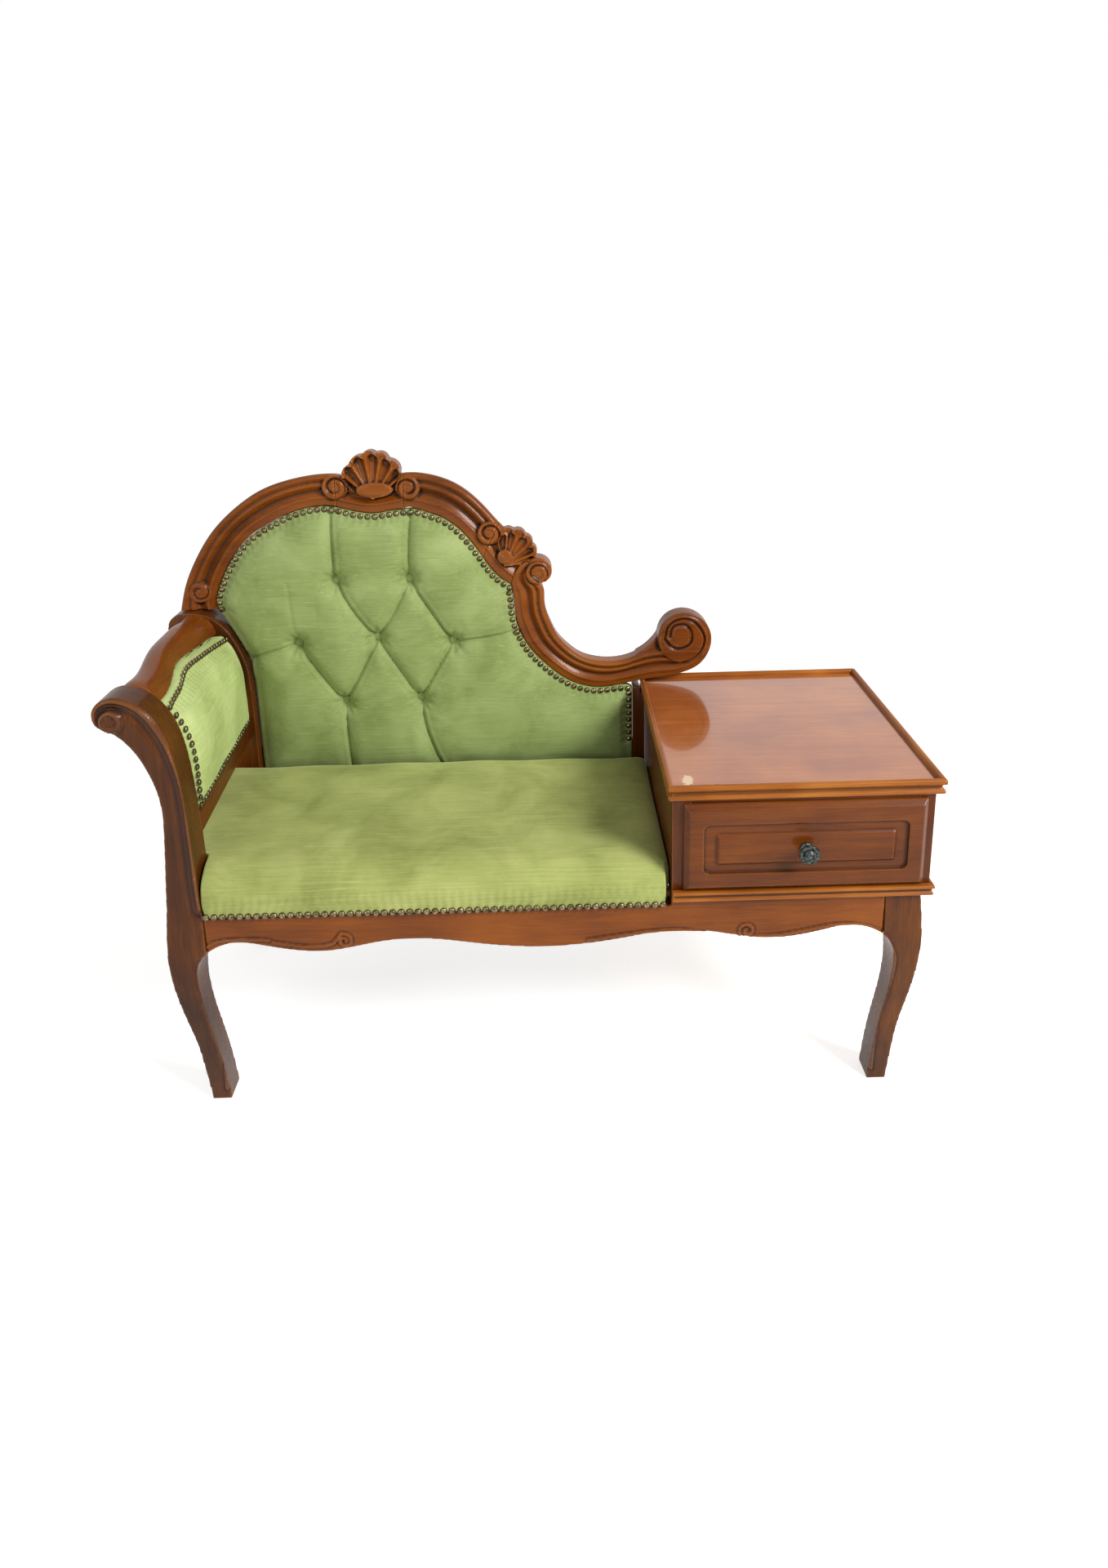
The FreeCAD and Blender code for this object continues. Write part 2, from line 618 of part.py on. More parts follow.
# The rest of the back frame, behind and below the upholstery
stile_post = box("stile_post", ("193.2", "205.7"), ("back_face + 2", "back_rear"),
                 ("rail_high", "497"))
stile_filler = box("stile_filler", ("205", "213.5"), ("back_face + 2", "back_rear"),
                   ("rail_high", "486"))
keep(boolean("Fuse", "stile_joined", stile_post, stile_filler), "back_right_stile")
board("back_bottom_rail", ("0 - 463.2", "193"), ("back_rear - 22", "back_rear"),
      ("345", "386"))

# The back pad: seven covered buttons pull it in, with pleats between them
BUTTONS = [(-308.0, 705.5), (-184.0, 705.5), (-380.0, 595.5), (-244.0, 602.5), (-116.0, 593.5),
           (-307.0, 486.5), (-176.0, 489.5)]
TOP_PAIR, MIDDLE_ROW, LOW_PAIR = BUTTONS[:2], BUTTONS[2:5], BUTTONS[5:]
PLEATS = [
    ((-308, 836), TOP_PAIR[0]), ((-184, 828), TOP_PAIR[1]),
    (TOP_PAIR[0], MIDDLE_ROW[1]), (TOP_PAIR[1], MIDDLE_ROW[1]), (TOP_PAIR[1], MIDDLE_ROW[2]),
    (MIDDLE_ROW[0], LOW_PAIR[0]), (MIDDLE_ROW[1], LOW_PAIR[0]),
    (MIDDLE_ROW[1], LOW_PAIR[1]), (MIDDLE_ROW[2], LOW_PAIR[1]),
    (MIDDLE_ROW[0], (-474, 568)), (MIDDLE_ROW[2], (0, 602)),
    (LOW_PAIR[0], (-304, 380)), (LOW_PAIR[1], (-160, 380)),
]
FRAME_INSIDE = [[station[1] for station in run]
                for run in (LEFT_ARCH, CREST, RIGHT_ARCH, SHOULDER, SWEEP[1:13])]


def inset(points, amount):
    """The points moved square to their own run, towards the cloth."""
    moved = []
    for i, (a, b) in enumerate(points):
        before = points[max(0, i - 1)]
        after = points[min(len(points) - 1, i + 1)]
        along = (after[0] - before[0], after[1] - before[1])
        length = math.hypot(*along)
        moved.append((a + amount * along[1] / length, b - amount * along[0] / length))
    return moved


pad_runs = [inset(run, size("pad_room")) for run in FRAME_INSIDE]
for before, after in zip(pad_runs[:-1], pad_runs[1:]):
    after[0] = before[-1]
back_outline = [
    [(-462.5, 345.0), (-462.5, 400), (-462.5, 470), (-463, 520), (-466.5, 560), (-477, 592),
     (-492, 622), pad_runs[0][0]],
    *pad_runs,
    [pad_runs[-1][-1], (180.0, 501.2), (189, 498.7), (192.8, 492)],
    [(192.8, 492.0), (192.8, 345.0)],
    [(192.8, 345.0), (-462.5, 345.0)],
]


def segment_distance(a, b, start, end):
    along = (end[0] - start[0], end[1] - start[1])
    length = along[0] ** 2 + along[1] ** 2
    share = ((a - start[0]) * along[0] + (b - start[1]) * along[1]) / length
    share = max(0.0, min(1.0, share))
    return math.hypot(a - start[0] - share * along[0], b - start[1] - share * along[1])


EDGE_FLAT = 9.0
EDGE_SUNK = 1.0


def back_height(x, z, distance):
    """How far the face stands forward of the frame's face plane. The edge is nailed flat."""
    rise = crown(max(0.0, distance - EDGE_FLAT), size("back_crown"), 18.0) - EDGE_SUNK
    tuft = max(math.exp(-(math.hypot(x - bx, z - bz) / 16.0) ** 2) for bx, bz in BUTTONS)
    pleat = max(math.exp(-(segment_distance(x, z, *line) / 9.0) ** 2) for line in PLEATS)
    return rise - 13.0 * tuft - 4.0 * pleat


PAD_REAR = 14.0
back_pad = crowned_pad(back_outline, lambda x, z, out: Vector(x, BACK_FACE - out, z),
                       back_height, 9.0, -PAD_REAR, Vector(0, 1, 0))
solid_feature("back_pad", back_pad)
plain_group("back_buttons", [
    Part.makeSphere(size("button_radius"), Vector(x, BACK_FACE - 0.5, z), Vector(0, -1, 0),
                    20.0, 90.0, 360.0)
    for x, z in BUTTONS
])
lining_edge = outline_wire(back_outline, lambda x, z: (x, BACK_REAR - 23.8, z))
solid_feature("back_lining", Part.Face(lining_edge).extrude(Vector(0, 1.2, 0)))


# The arm. Its inner face follows the front post's inner edge and spreads towards the back.
def arm_face(y, z):
    curl = 0.0043 * max(0.0, z - 540.0) ** 2
    return -454.0 - curl - size("arm_splay") * (y - size("leg_back"))


ARM_TOP_LINE = [(180.0, 619.0), (107, 627), (27, 635), (-24, 637), (-70, 630), (-116, 627),
                (-140, 626)]
arm_outline = [
    [(-139.8, 462.0), (179.8, 457.0)],
    [(179.8, 457.0), (179.8, 619.0)],
    [(179.8, 619.0)] + ARM_TOP_LINE[1:-1] + [(-139.8, 626.0)],
    [(-139.8, 626.0), (-139.8, 462.0)],
]


def arm_skin(front, rear, rise):
    """A curved panel of the arm between two depths measured outwards from its inner face."""
    flat = outline_wire(arm_outline, lambda a, b: (a, b, 0.0))
    samples = [(v.x, v.y) for v in flat.discretize(Distance=5.0)]
    rows = []
    for y in grid_values(-152.0, 192.0, 13.0):
        row = []
        for z in grid_values(445.0, 650.0, 13.0):
            out = crown(edge_distance(samples, y, z), rise, 14.0)
            row.append(Vector(arm_face(y, z) - front + out, y, z))
        rows.append(row)
    surface = Part.BSplineSurface()
    surface.interpolate(rows)
    block = surface.toShape().extrude(Vector(front - rear, 0, 0))
    outline = outline_wire(arm_outline, lambda a, b: (-300.0, a, b))
    return block.common(Part.Face(outline).extrude(Vector(-340.0, 0, 0)))


solid_feature("arm_pad", arm_skin(3.0, 21.0, 9.0))
solid_feature("arm_outer_cover", arm_skin(30.0, 21.3, 0.0))

# The arm's top rail: a rounded roll that steps inwards between its two posts
ROLL = [(0.0, -20.0), (-3, -6), (-13, 8), (-30, 17), (-47, 15), (-56, 2), (-54, -14), (-42, -27),
        (-24, -31), (-7, -28)]
ROLL_STATIONS = [(-140.0, -492.0, 638.0, 1.0), (-110, -493, 638.5, 0.97), (-75, -497, 639, 0.92),
                 (-35, -505, 643, 0.88), (10, -512, 645, 0.88), (60, -514, 643.5, 0.92),
                 (115, -514, 641.5, 0.97), (180, -513, 639, 1.0)]
roll_wires = []
for y, x, z, share in ROLL_STATIONS:
    ring = Part.BSplineCurve()
    ring.interpolate([Vector(x + share * a, y, z + b) for a, b in ROLL], PeriodicFlag=True)
    roll_wires.append(Part.Wire(ring.toShape()))
arm_roll = Part.makeLoft(roll_wires, True, False)
outline = outline_wire(arm_outline, lambda a, b: (-300.0, a, b))
pad_room = Part.Face(outline).extrude(Vector(-340.0, 0, 0))
solid_feature("arm_top_rail", arm_roll.cut(pad_room))
solid_feature("arm_bottom_rail", splayed_rail(size("leg_back"), size("rear_post_face"),
                                              (-482.0, -456.0), (-501.0, -475.0),
                                              424.0, 456.5, 4.0))


# Upholstery nails: domed heads in rows along the edges of the cloth
def nail(place, way):
    radius = size("nail_radius")
    return Part.makeSphere(radius, place - way * (radius * 0.5), way, 30.0, 90.0, 360.0)


def spaced(points, pitch):
    """Places a pitch apart along a smooth curve through the points."""
    curve = stretch_curve(points).toShape()
    count = max(1, int(round(curve.Length / pitch)))
    return curve.discretize(Number=count + 1)


pitch = size("nail_pitch")
FRONT = Vector(0, -1, 0)
seat_nail_y = -196.0
seat_nails = [nail(place, FRONT) for place in spaced(
    [(-444.0, seat_nail_y, size("seat_nail_high")), (202.0, seat_nail_y, size("seat_nail_high"))],
    pitch)]
plain_group("seat_nails", seat_nails)


upper_row = [place for run in FRAME_INSIDE[:3] for place in run[:-1]] + FRAME_INSIDE[3]
lower_row = FRAME_INSIDE[4][1:] + [(184.0, 501.0)]
nail_inset = 6.0
nail_back = BACK_FACE + EDGE_SUNK + 0.5
back_nails = []
for row in (inset(upper_row, nail_inset), inset(lower_row, nail_inset)):
    places = spaced([(a, nail_back, b) for a, b in row], pitch)
    back_nails += [nail(place, FRONT) for place in places]
side_row = [(186.0, nail_back, 486.0), (186.0, nail_back, 400.0)]
back_nails += [nail(place, FRONT) for place in spaced(side_row, pitch)]
plain_group("back_nails", back_nails)

INWARD = Vector(1, 0, 0)


def arm_row(points):
    places = []
    for a, b in points:
        places.append((arm_face(a, b) + 0.6, a, b))
    return [nail(place, INWARD) for place in spaced(places, pitch)]


arm_nails = arm_row([(172.0, 613.0), (107, 621), (27, 629), (-24, 631), (-70, 624), (-116, 621),
                     (-133, 619)])
arm_nails += arm_row([(-134.0, 607.0), (-134, 580), (-134, 540), (-134, 480)])
arm_nails += arm_row([(-134.0, 468.0), (172.0, 463.0)])
plain_group("arm_nails", arm_nails)

# The cabinet
board("cabinet_left_side", ("case_left", "case_left + side_thick"),
      ("case_front + face_thick", "case_back"), ("case_base", "top_under"))
board("cabinet_right_side", ("case_right - side_thick", "case_right"),
      ("case_front + face_thick", "case_back"), ("case_base", "top_under"))
board("cabinet_back", ("case_left + side_thick", "case_right - side_thick"),
      ("case_back - 6", "case_back"), ("case_base", "top_under"))
board("cabinet_bottom", ("case_left + side_thick", "case_right - side_thick"),
      ("case_front + face_thick", "case_back - 6"), ("open_low - 16", "open_low - 6"))
board("left_face_stile", ("case_left", "open_left"),
      ("case_front", "case_front + face_thick"), ("case_base", "top_under"))
board("right_face_stile", ("open_right", "case_right"),
      ("case_front", "case_front + face_thick"), ("case_base", "top_under"))
board("upper_face_rail", ("open_left", "open_right"),
      ("case_front", "case_front + face_thick"), ("open_high", "top_under"))
board("lower_face_rail", ("open_left", "open_right"),
      ("case_front", "case_front + face_thick"), ("case_base", "open_low"))


# Mouldings: a section swept straight, then mitred
def moulding_wire(points, place):
    edges = []
    for run in points:
        edges.append(stretch_curve([place(a, b) for a, b in run]).toShape())
    return Part.Wire(edges)


# Both sections are drawn as distance in from the outermost edge, and height
TOP_RIM = size("top_rim")
TOP_UNDER = size("top_under")
RIM_WIDE = size("rim_wide")
TOP_SECTION = [
    [(3.0, TOP_UNDER), (1.9, TOP_UNDER + 2.2), (1.6, TOP_UNDER + 4.0), (3.2, TOP_UNDER + 6.4)],
    [(3.2, TOP_UNDER + 6.4), (5.2, TOP_UNDER + 8.2), (5.4, TOP_UNDER + 11.0),
     (2.4, TOP_UNDER + 14.2)],
    [(2.4, TOP_UNDER + 14.2), (0.3, TOP_RIM - 6.4), (0.3, TOP_RIM - 3.4), (2.4, TOP_RIM - 0.8),
     (5.0, TOP_RIM), (7.8, TOP_RIM - 1.2), (RIM_WIDE, TOP_RIM - 4.4)],
    [(RIM_WIDE, TOP_RIM - 4.4), (RIM_WIDE, TOP_UNDER)],
    [(RIM_WIDE, TOP_UNDER), (3.0, TOP_UNDER)],
]


def mitred_strip(node, wire, sweep, plan, low):
    """A section swept straight and cut to its mitred outline seen from above."""
    corners = [Vector(a, b, low - 1.0) for a, b in plan]
    mitre = Part.Face(Part.makePolygon(corners + corners[:1])).extrude(Vector(0, 0, 30.0))
    return solid_feature(node, Part.Face(wire).extrude(sweep).common(mitre))


def top_moulding(node, side):
    x0, x1 = size("top_left"), size("top_right")
    y0, y1 = size("top_front"), size("top_back")
    if side in ("front", "back"):
        near, way = (y0, 1) if side == "front" else (y1, -1)
        far = near + way * RIM_WIDE
        wire = moulding_wire(TOP_SECTION, lambda a, b: (x0, near + way * a, b))
        sweep = Vector(x1 - x0, 0, 0)
        plan = [(x0, near), (x1, near), (x1 - RIM_WIDE, far), (x0 + RIM_WIDE, far)]
    else:
        near, way = (x0, 1) if side == "left" else (x1, -1)
        far = near + way * RIM_WIDE
        wire = moulding_wire(TOP_SECTION, lambda a, b: (near + way * a, y0, b))
        sweep = Vector(0, y1 - y0, 0)
        plan = [(near, y0), (near, y1), (far, y1 - RIM_WIDE), (far, y0 + RIM_WIDE)]
    return mitred_strip(node, wire, sweep, plan, TOP_UNDER)


for side in ("front", "back", "left", "right"):
    top_moulding("top_moulding_" + side, side)
board("table_top", ("top_left + rim_wide", "top_right - rim_wide"),
      ("top_front + rim_wide", "top_back - rim_wide"), ("top_under", "top_surface"))

BASE_LOW = size("case_base")
BASE_HIGH = BASE_LOW + size("base_high")


def base_section(out):
    """Two beads with a hollow between them, as distance in from the outermost edge."""
    return [
        [(out, BASE_LOW), (3.6, BASE_LOW)],
        [(3.6, BASE_LOW), (2.2, BASE_LOW + 1.2), (1.8, BASE_LOW + 3.0), (3.0, BASE_LOW + 5.2)],
        [(3.0, BASE_LOW + 5.2), (4.6, BASE_LOW + 7.0), (4.2, BASE_LOW + 9.4),
         (2.0, BASE_LOW + 11.0)],
        [(2.0, BASE_LOW + 11.0), (0.0, BASE_LOW + 12.6), (0.4, BASE_LOW + 15.2),
         (2.6, BASE_LOW + 16.6), (5.0, BASE_HIGH)],
        [(5.0, BASE_HIGH), (out, BASE_HIGH)],
        [(out, BASE_HIGH), (out, BASE_LOW)],
    ]


front_out = size("base_out")
side_out = size("base_side_out")
case_left, case_right = size("case_left"), size("case_right")
case_front, case_back = size("case_front"), size("case_back")
front_edge = case_front - front_out
side_edge = case_right + side_out
mitred_strip("base_moulding_front",
             moulding_wire(base_section(front_out), lambda a, b: (case_left, front_edge + a, b)),
             Vector(side_edge - case_left, 0, 0),
             [(case_left, front_edge), (side_edge, front_edge),
              (case_right, case_front), (case_left, case_front)], BASE_LOW)
mitred_strip("base_moulding_side",
             moulding_wire(base_section(side_out), lambda a, b: (side_edge - a, front_edge, b)),
             Vector(0, case_back - front_edge, 0),
             [(side_edge, front_edge), (side_edge, case_back),
              (case_right, case_back), (case_right, case_front)], BASE_LOW)


# What the drawer runs on: runners, guides beside it, kickers above it and stops behind it
inside_left = case_left + size("side_thick")
inside_right = case_right - size("side_thick")
case_inside_front = case_front + size("face_thick")
runner_top = size("box_low") - size("front_gap")
STRIP_END = 205.0


def pair(node, reach, z_range, start=0.0, y_start=case_inside_front):
    """A strip at each cabinet side, to a reach past the drawer's own side."""
    low, high = z_range
    solids = []
    for x0, x1 in ((inside_left + start, size("box_left") + reach),
                   (size("box_right") - reach, inside_right - start)):
        solids.append(Part.makeBox(x1 - x0, STRIP_END - y_start, high - low,
                                   Vector(x0, y_start, low)))
    return plain_group(node, solids)


kicker_low = size("open_high") - 8.0
pair("drawer_runners", 12.0, (size("open_low") - 6.0, runner_top))
pair("drawer_guides", -1.0, (runner_top, 385.0))
pair("drawer_kickers", 10.0, (kicker_low, TOP_UNDER))
pair("drawer_stops", 40.0, (size("open_low") - 6.0, 376.0), 34.0, size("box_back") + 0.5)
screw_thick = 1.8
plain_group("table_screws", [
    Part.makeCylinder(4.0, screw_thick, Vector(x, y, kicker_low - screw_thick))
    for x in (inside_left + 14.0, inside_right - 12.0) for y in (-120.0, 150.0)
])

# The drawer
drawer_front = doc.addObject("PartDesign::Body", "drawer_front_body")
slab = drawer_front.newObject("PartDesign::AdditiveBox", "front_slab")
slab.setExpression("Length", bound("front_wide"))
slab.setExpression("Width", bound("case_front - front_gap - front_face"))
slab.setExpression("Height", bound("front_high - front_low"))
slab.setExpression(".Placement.Base.x", bound("front_mid - front_wide / 2"))
slab.setExpression(".Placement.Base.y", bound("front_face"))
slab.setExpression(".Placement.Base.z", bound("front_low"))
doc.recompute()
face_edges = []
for i, edge in enumerate(slab.Shape.Edges, start=1):
    if all(abs(vertex.Y - size("front_face")) < 0.01 for vertex in edge.Vertexes):
        face_edges.append("Edge%d" % i)
bevels = drawer_front.newObject("PartDesign::Chamfer", "front_bevel")
bevels.Base = (slab, face_edges)
bevels.setExpression("Size", bound("bevel"))
drawer_front.Tip = bevels
doc.recompute()


def rounded_rectangle(left, right, low, high, radius, y, depth):
    block = Part.makeBox(right - left, depth, high - low, Vector(left, y, low))
    upright = [e for e in block.Edges
               if abs(e.Vertexes[0].Y - e.Vertexes[1].Y) > depth * 0.9]
    return block.makeFillet(radius, upright)


# The face has a sunk field with a raised, bevelled panel in it, and a tongue behind it
FIELD = (257.0, 542.0, 377.5, 452.5)
PANEL = (274.5, 525.5, 390.0, 437.5)
PANEL_SUNK = 1.2
TONGUE_THICK = 15.0
face_y = size("front_face")
field_cut = rounded_rectangle(*FIELD, 9.0, face_y - 1.0, 6.0)
panel_left, panel_right, panel_low, panel_high = PANEL
panel_foot = Part.makeBox(panel_right - panel_left, 4.0, panel_high - panel_low,
                          Vector(panel_left, face_y + PANEL_SUNK, panel_low))
foot_edges = [e for e in panel_foot.Edges
              if all(abs(v.Y - face_y - PANEL_SUNK) < 0.01 for v in e.Vertexes)]
panel_raised = panel_foot.makeChamfer(3.6, foot_edges)
tongue = Part.makeBox(size("box_right") - size("box_left") + 1.0, TONGUE_THICK, 112.0,
                      Vector(size("box_left") - 0.5, case_front - size("front_gap"),
                             size("box_low")))
front_shape = drawer_front.Shape.cut(field_cut).fuse(panel_raised).fuse(tongue).removeSplitter()
solid_feature("drawer_front", front_shape)

inside_front_y = "case_front - front_gap + 15"
board("drawer_left_side", ("box_left", "box_left + box_thick"), (inside_front_y, "box_back"),
      ("box_low", "box_high"))
board("drawer_right_side", ("box_right - box_thick", "box_right"), (inside_front_y, "box_back"),
      ("box_low", "box_high"))
board("drawer_back", ("box_left + box_thick", "box_right - box_thick"),
      ("box_back - box_thick", "box_back"), ("box_low + 7", "box_high - 4"))
board("drawer_bottom", ("box_left + box_thick", "box_right - box_thick"),
      (inside_front_y, "box_back - box_thick"), ("box_low + 3", "box_low + 7"))

# The knob is turned, with a rosette face, and a screw from inside the drawer holds it
knob_face = size("front_face") + PANEL_SUNK
radius = size("knob_radius")
reach = size("knob_out")
knob_profile = [
    [(0.0, 0.0), (8.0, 0.0)],
    [(8.0, 0.0), (8.6, 2.0), (6.4, 4.6)],
    [(6.4, 4.6), (5.4, 8.0), (5.6, 12.0), (8.0, 15.5), (radius - 1.0, 18.0)],
    [(radius - 1.0, 18.0), (radius, 19.6), (radius - 0.6, 21.4)],
    [(radius - 0.6, 21.4), (radius - 3.0, 22.6), (radius - 5.5, 22.0)],
    [(radius - 5.5, 22.0), (radius - 7.0, reach - 2.6), (4.0, reach - 0.5), (0.0, reach)],
]
knob_centre = Vector(size("front_mid"), knob_face, size("knob_high"))
knob_wire = moulding_wire(knob_profile, lambda a, b: tuple(knob_centre + Vector(a, -b, 0)))
axis_line = Part.LineSegment(knob_centre - Vector(0, reach, 0), knob_centre).toShape()
knob = Part.Face(Part.Wire(knob_wire.Edges + [axis_line])).revolve(knob_centre, FRONT, 360.0)
solid_feature("drawer_knob", knob)
screw_place = Vector(size("front_mid"), case_front - size("front_gap") + TONGUE_THICK,
                     size("knob_high"))
solid_feature("knob_screw", Part.makeCylinder(4.0, 2.4, screw_place, Vector(0, 1, 0)))

# Checks, then one file for each sub-part
doc.recompute()
for thing in doc.Objects:
    if "Invalid" in thing.State or "Error" in thing.State:
        raise RuntimeError("%s failed: %s" % (thing.Label, thing.State))
for thing in subparts:
    if thing.Shape.isNull() or not thing.Shape.isValid():
        raise RuntimeError("%s has no valid shape" % thing.Label)
os.makedirs("parts", exist_ok=True)
whole = FreeCAD.BoundBox()
for thing in subparts:
    thing.Shape.exportStep("parts/%s.step" % thing.Label)
    whole.add(thing.Shape.BoundBox)
    print("%-22s %3d solid(s) %10.1f cm3" % (thing.Label, len(thing.Shape.Solids),
                                            thing.Shape.Volume / 1000.0))
print("%d sub-parts, box %s" % (len(subparts), whole))
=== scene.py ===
# %% [markdown]
# # A telephone bench
# An upholstered seat with one scrolled arm, a buttoned back in a carved frame, and a small
# table with a drawer. The solids come from the CAD model in the same frame, in metres. This
# lesson dresses them: carved and varnished beech, a veneered table top, green velvet and rows
# of antique nails.

import json
import math

import bmesh
import bpy
import numpy as np
from mathutils import Matrix, Vector


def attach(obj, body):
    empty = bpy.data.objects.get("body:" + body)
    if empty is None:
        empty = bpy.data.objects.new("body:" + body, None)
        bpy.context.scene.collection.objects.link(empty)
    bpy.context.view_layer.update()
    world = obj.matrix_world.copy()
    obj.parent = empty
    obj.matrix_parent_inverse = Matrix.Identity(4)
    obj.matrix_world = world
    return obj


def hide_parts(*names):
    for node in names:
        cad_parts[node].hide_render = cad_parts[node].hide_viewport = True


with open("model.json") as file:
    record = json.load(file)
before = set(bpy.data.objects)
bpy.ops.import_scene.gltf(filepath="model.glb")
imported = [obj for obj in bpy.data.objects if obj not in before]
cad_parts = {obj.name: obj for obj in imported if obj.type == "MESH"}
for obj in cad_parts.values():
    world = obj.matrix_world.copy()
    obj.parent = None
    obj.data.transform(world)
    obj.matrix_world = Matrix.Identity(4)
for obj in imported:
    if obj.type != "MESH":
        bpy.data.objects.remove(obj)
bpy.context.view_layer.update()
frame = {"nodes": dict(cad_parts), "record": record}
NODES = frame["nodes"]
MM = 0.001

# %% [markdown]
# Every material here is a small network of nodes. Writing node by node is long, so one helper
# adds a node, sets its choices and fills or links its sockets. Colours are easiest to name as
# sRGB hex, while shaders work in linear light, so a second helper turns one into the other.


# %% Two helpers for materials
def linear(code, alpha=1.0):
    """An sRGB hex colour as the linear colour that a shader works in."""
    shares = [int(code[i:i + 2], 16) / 255.0 for i in (1, 3, 5)]
    return [s / 12.92 if s <= 0.04045 else ((s + 0.055) / 1.055) ** 2.4
            for s in shares] + [alpha]


def add(tree, kind, sockets=None, stops=None, **settings):
    """Adds a node. sockets maps an input to a value or to the output that feeds it."""
    node = tree.nodes.new(kind)
    for name, value in settings.items():
        setattr(node, name, value)
    for key, value in (sockets or {}).items():
        if isinstance(value, bpy.types.NodeSocket):
            tree.links.new(value, node.inputs[key])
        else:
            node.inputs[key].default_value = value
    if stops:
        elements = node.color_ramp.elements
        while len(elements) < len(stops):
            elements.new(1.0)
        for element, (place, code) in zip(elements, stops):
            element.position = place
            element.color = linear(code)
    return node


def new_material(name):
    material = bpy.data.materials.new(name)
    material.use_nodes = True
    material.node_tree.nodes.clear()
    return material, material.node_tree


# %% [markdown]
# ## Stained beech
# The frame is beech, stained red-brown and sealed with a satin varnish. The stain soaks into the
# grain in fine streaks a millimetre or two apart. The hollows of the carving are painted darker,
# as shade and built-up stain, and the ridges paler, as wear and painted highlight. The streaks
# are one noise stretched along the grain. Two attributes of each carved piece, one for the
# hollows and one for the ridges, say where the painted shade and highlight go and where the
# stain wears.


# %% Material: stained beech under satin varnish
GRAIN_ALONG = 0.045


def grain_scale(axis):
    return [GRAIN_ALONG if name == axis else 1.0 for name in "XYZ"]


def stained_beech(name, axis, dark, middle, light, carved=False, roughness=0.30, chips=0.60):
    material, tree = new_material(name)
    place = add(tree, "ShaderNodeTexCoord").outputs["Object"]
    along = add(tree, "ShaderNodeMapping", {"Vector": place, "Scale": grain_scale(axis)})
    streaks = add(tree, "ShaderNodeTexNoise", {"Vector": along.outputs[0], "Scale": 480.0,
                                               "Detail": 5.0, "Roughness": 0.62})
    bands = add(tree, "ShaderNodeTexNoise", {"Vector": along.outputs[0], "Scale": 75.0,
                                             "Detail": 3.0, "Distortion": 0.6})
    cloud = add(tree, "ShaderNodeTexNoise", {"Vector": place, "Scale": 7.0, "Detail": 2.0})
    fine = add(tree, "ShaderNodeMath", {0: streaks.outputs[0], 1: 0.30}, operation="MULTIPLY")
    broad = add(tree, "ShaderNodeMath", {0: bands.outputs[0], 1: 0.24}, operation="MULTIPLY")
    wide = add(tree, "ShaderNodeMath", {0: cloud.outputs[0], 1: 0.50}, operation="MULTIPLY")
    two = add(tree, "ShaderNodeMath", {0: fine.outputs[0], 1: broad.outputs[0]})
    tone = add(tree, "ShaderNodeMath", {0: two.outputs[0], 1: wide.outputs[0]})
    colour = add(tree, "ShaderNodeValToRGB", {"Fac": tone.outputs[0]},
                 stops=[(0.34, dark), (0.52, middle), (0.72, light)]).outputs[0]
    speck = add(tree, "ShaderNodeTexNoise", {"Vector": place, "Scale": 210.0, "Detail": 4.0,
                                             "Roughness": 0.7})
    pores = add(tree, "ShaderNodeMapping", {"Vector": along.outputs[0],
                                            "Scale": [2.6, 2.6, 2.6]})
    pore = add(tree, "ShaderNodeTexNoise", {"Vector": pores.outputs[0], "Scale": 420.0,
                                            "Detail": 2.0})
    pore_dark = add(tree, "ShaderNodeMapRange", {0: pore.outputs[0], 1: 0.62, 2: 0.76,
                                                 3: 0.0, 4: 0.30})
    colour = add(tree, "ShaderNodeMix", {0: pore_dark.outputs[0], 6: colour,
                                         7: linear(dark)}, data_type="RGBA").outputs[2]
    if carved:
        # The hollows are darkened: painted shade, with some built-up stain.
        hollow_stain_and_shade = add(tree, "ShaderNodeAttribute", attribute_name="hollow_stain_and_shade").outputs["Fac"]
        ridge = add(tree, "ShaderNodeAttribute", attribute_name="ridge").outputs["Fac"]
        colour = add(tree, "ShaderNodeMix", {0: hollow_stain_and_shade, 6: colour, 7: linear("#220E04")},
                     data_type="RGBA").outputs[2]
        # The ridges are lightened: wear, and a painted highlight on the edges. The pale chips
        # below are wear.
        rubbed_and_highlit = add(tree, "ShaderNodeMath", {0: ridge, 1: 0.28}, operation="MULTIPLY")
        colour = add(tree, "ShaderNodeMix", {0: rubbed_and_highlit.outputs[0], 6: colour,
                                             7: linear("#B4713C")}, data_type="RGBA").outputs[2]
        worn = add(tree, "ShaderNodeMath", {0: speck.outputs[0], 1: ridge}, operation="MULTIPLY")
        chip = add(tree, "ShaderNodeMapRange", {0: worn.outputs[0], 1: chips,
                                                2: chips + 0.05, 3: 0.0, 4: 0.8})
        colour = add(tree, "ShaderNodeMix", {0: chip.outputs[0], 6: colour,
                                             7: linear("#D9B68C")}, data_type="RGBA").outputs[2]
    haze = add(tree, "ShaderNodeMapRange", {0: speck.outputs[0], 1: 0.3, 2: 0.75,
                                            3: roughness - 0.06, 4: roughness + 0.14})
    relief = add(tree, "ShaderNodeBump", {"Strength": 0.12, "Distance": 0.0006,
                                          "Height": pore_dark.outputs[0]}, invert=True)
    shader = add(tree, "ShaderNodeBsdfPrincipled", {
        "Base Color": colour, "Roughness": haze.outputs[0], "Specular IOR Level": 0.13,
        "Coat Weight": 0.14, "Coat Roughness": 0.10, "Normal": relief.outputs[0]})
    add(tree, "ShaderNodeOutputMaterial", {"Surface": shader.outputs[0]})
    return material


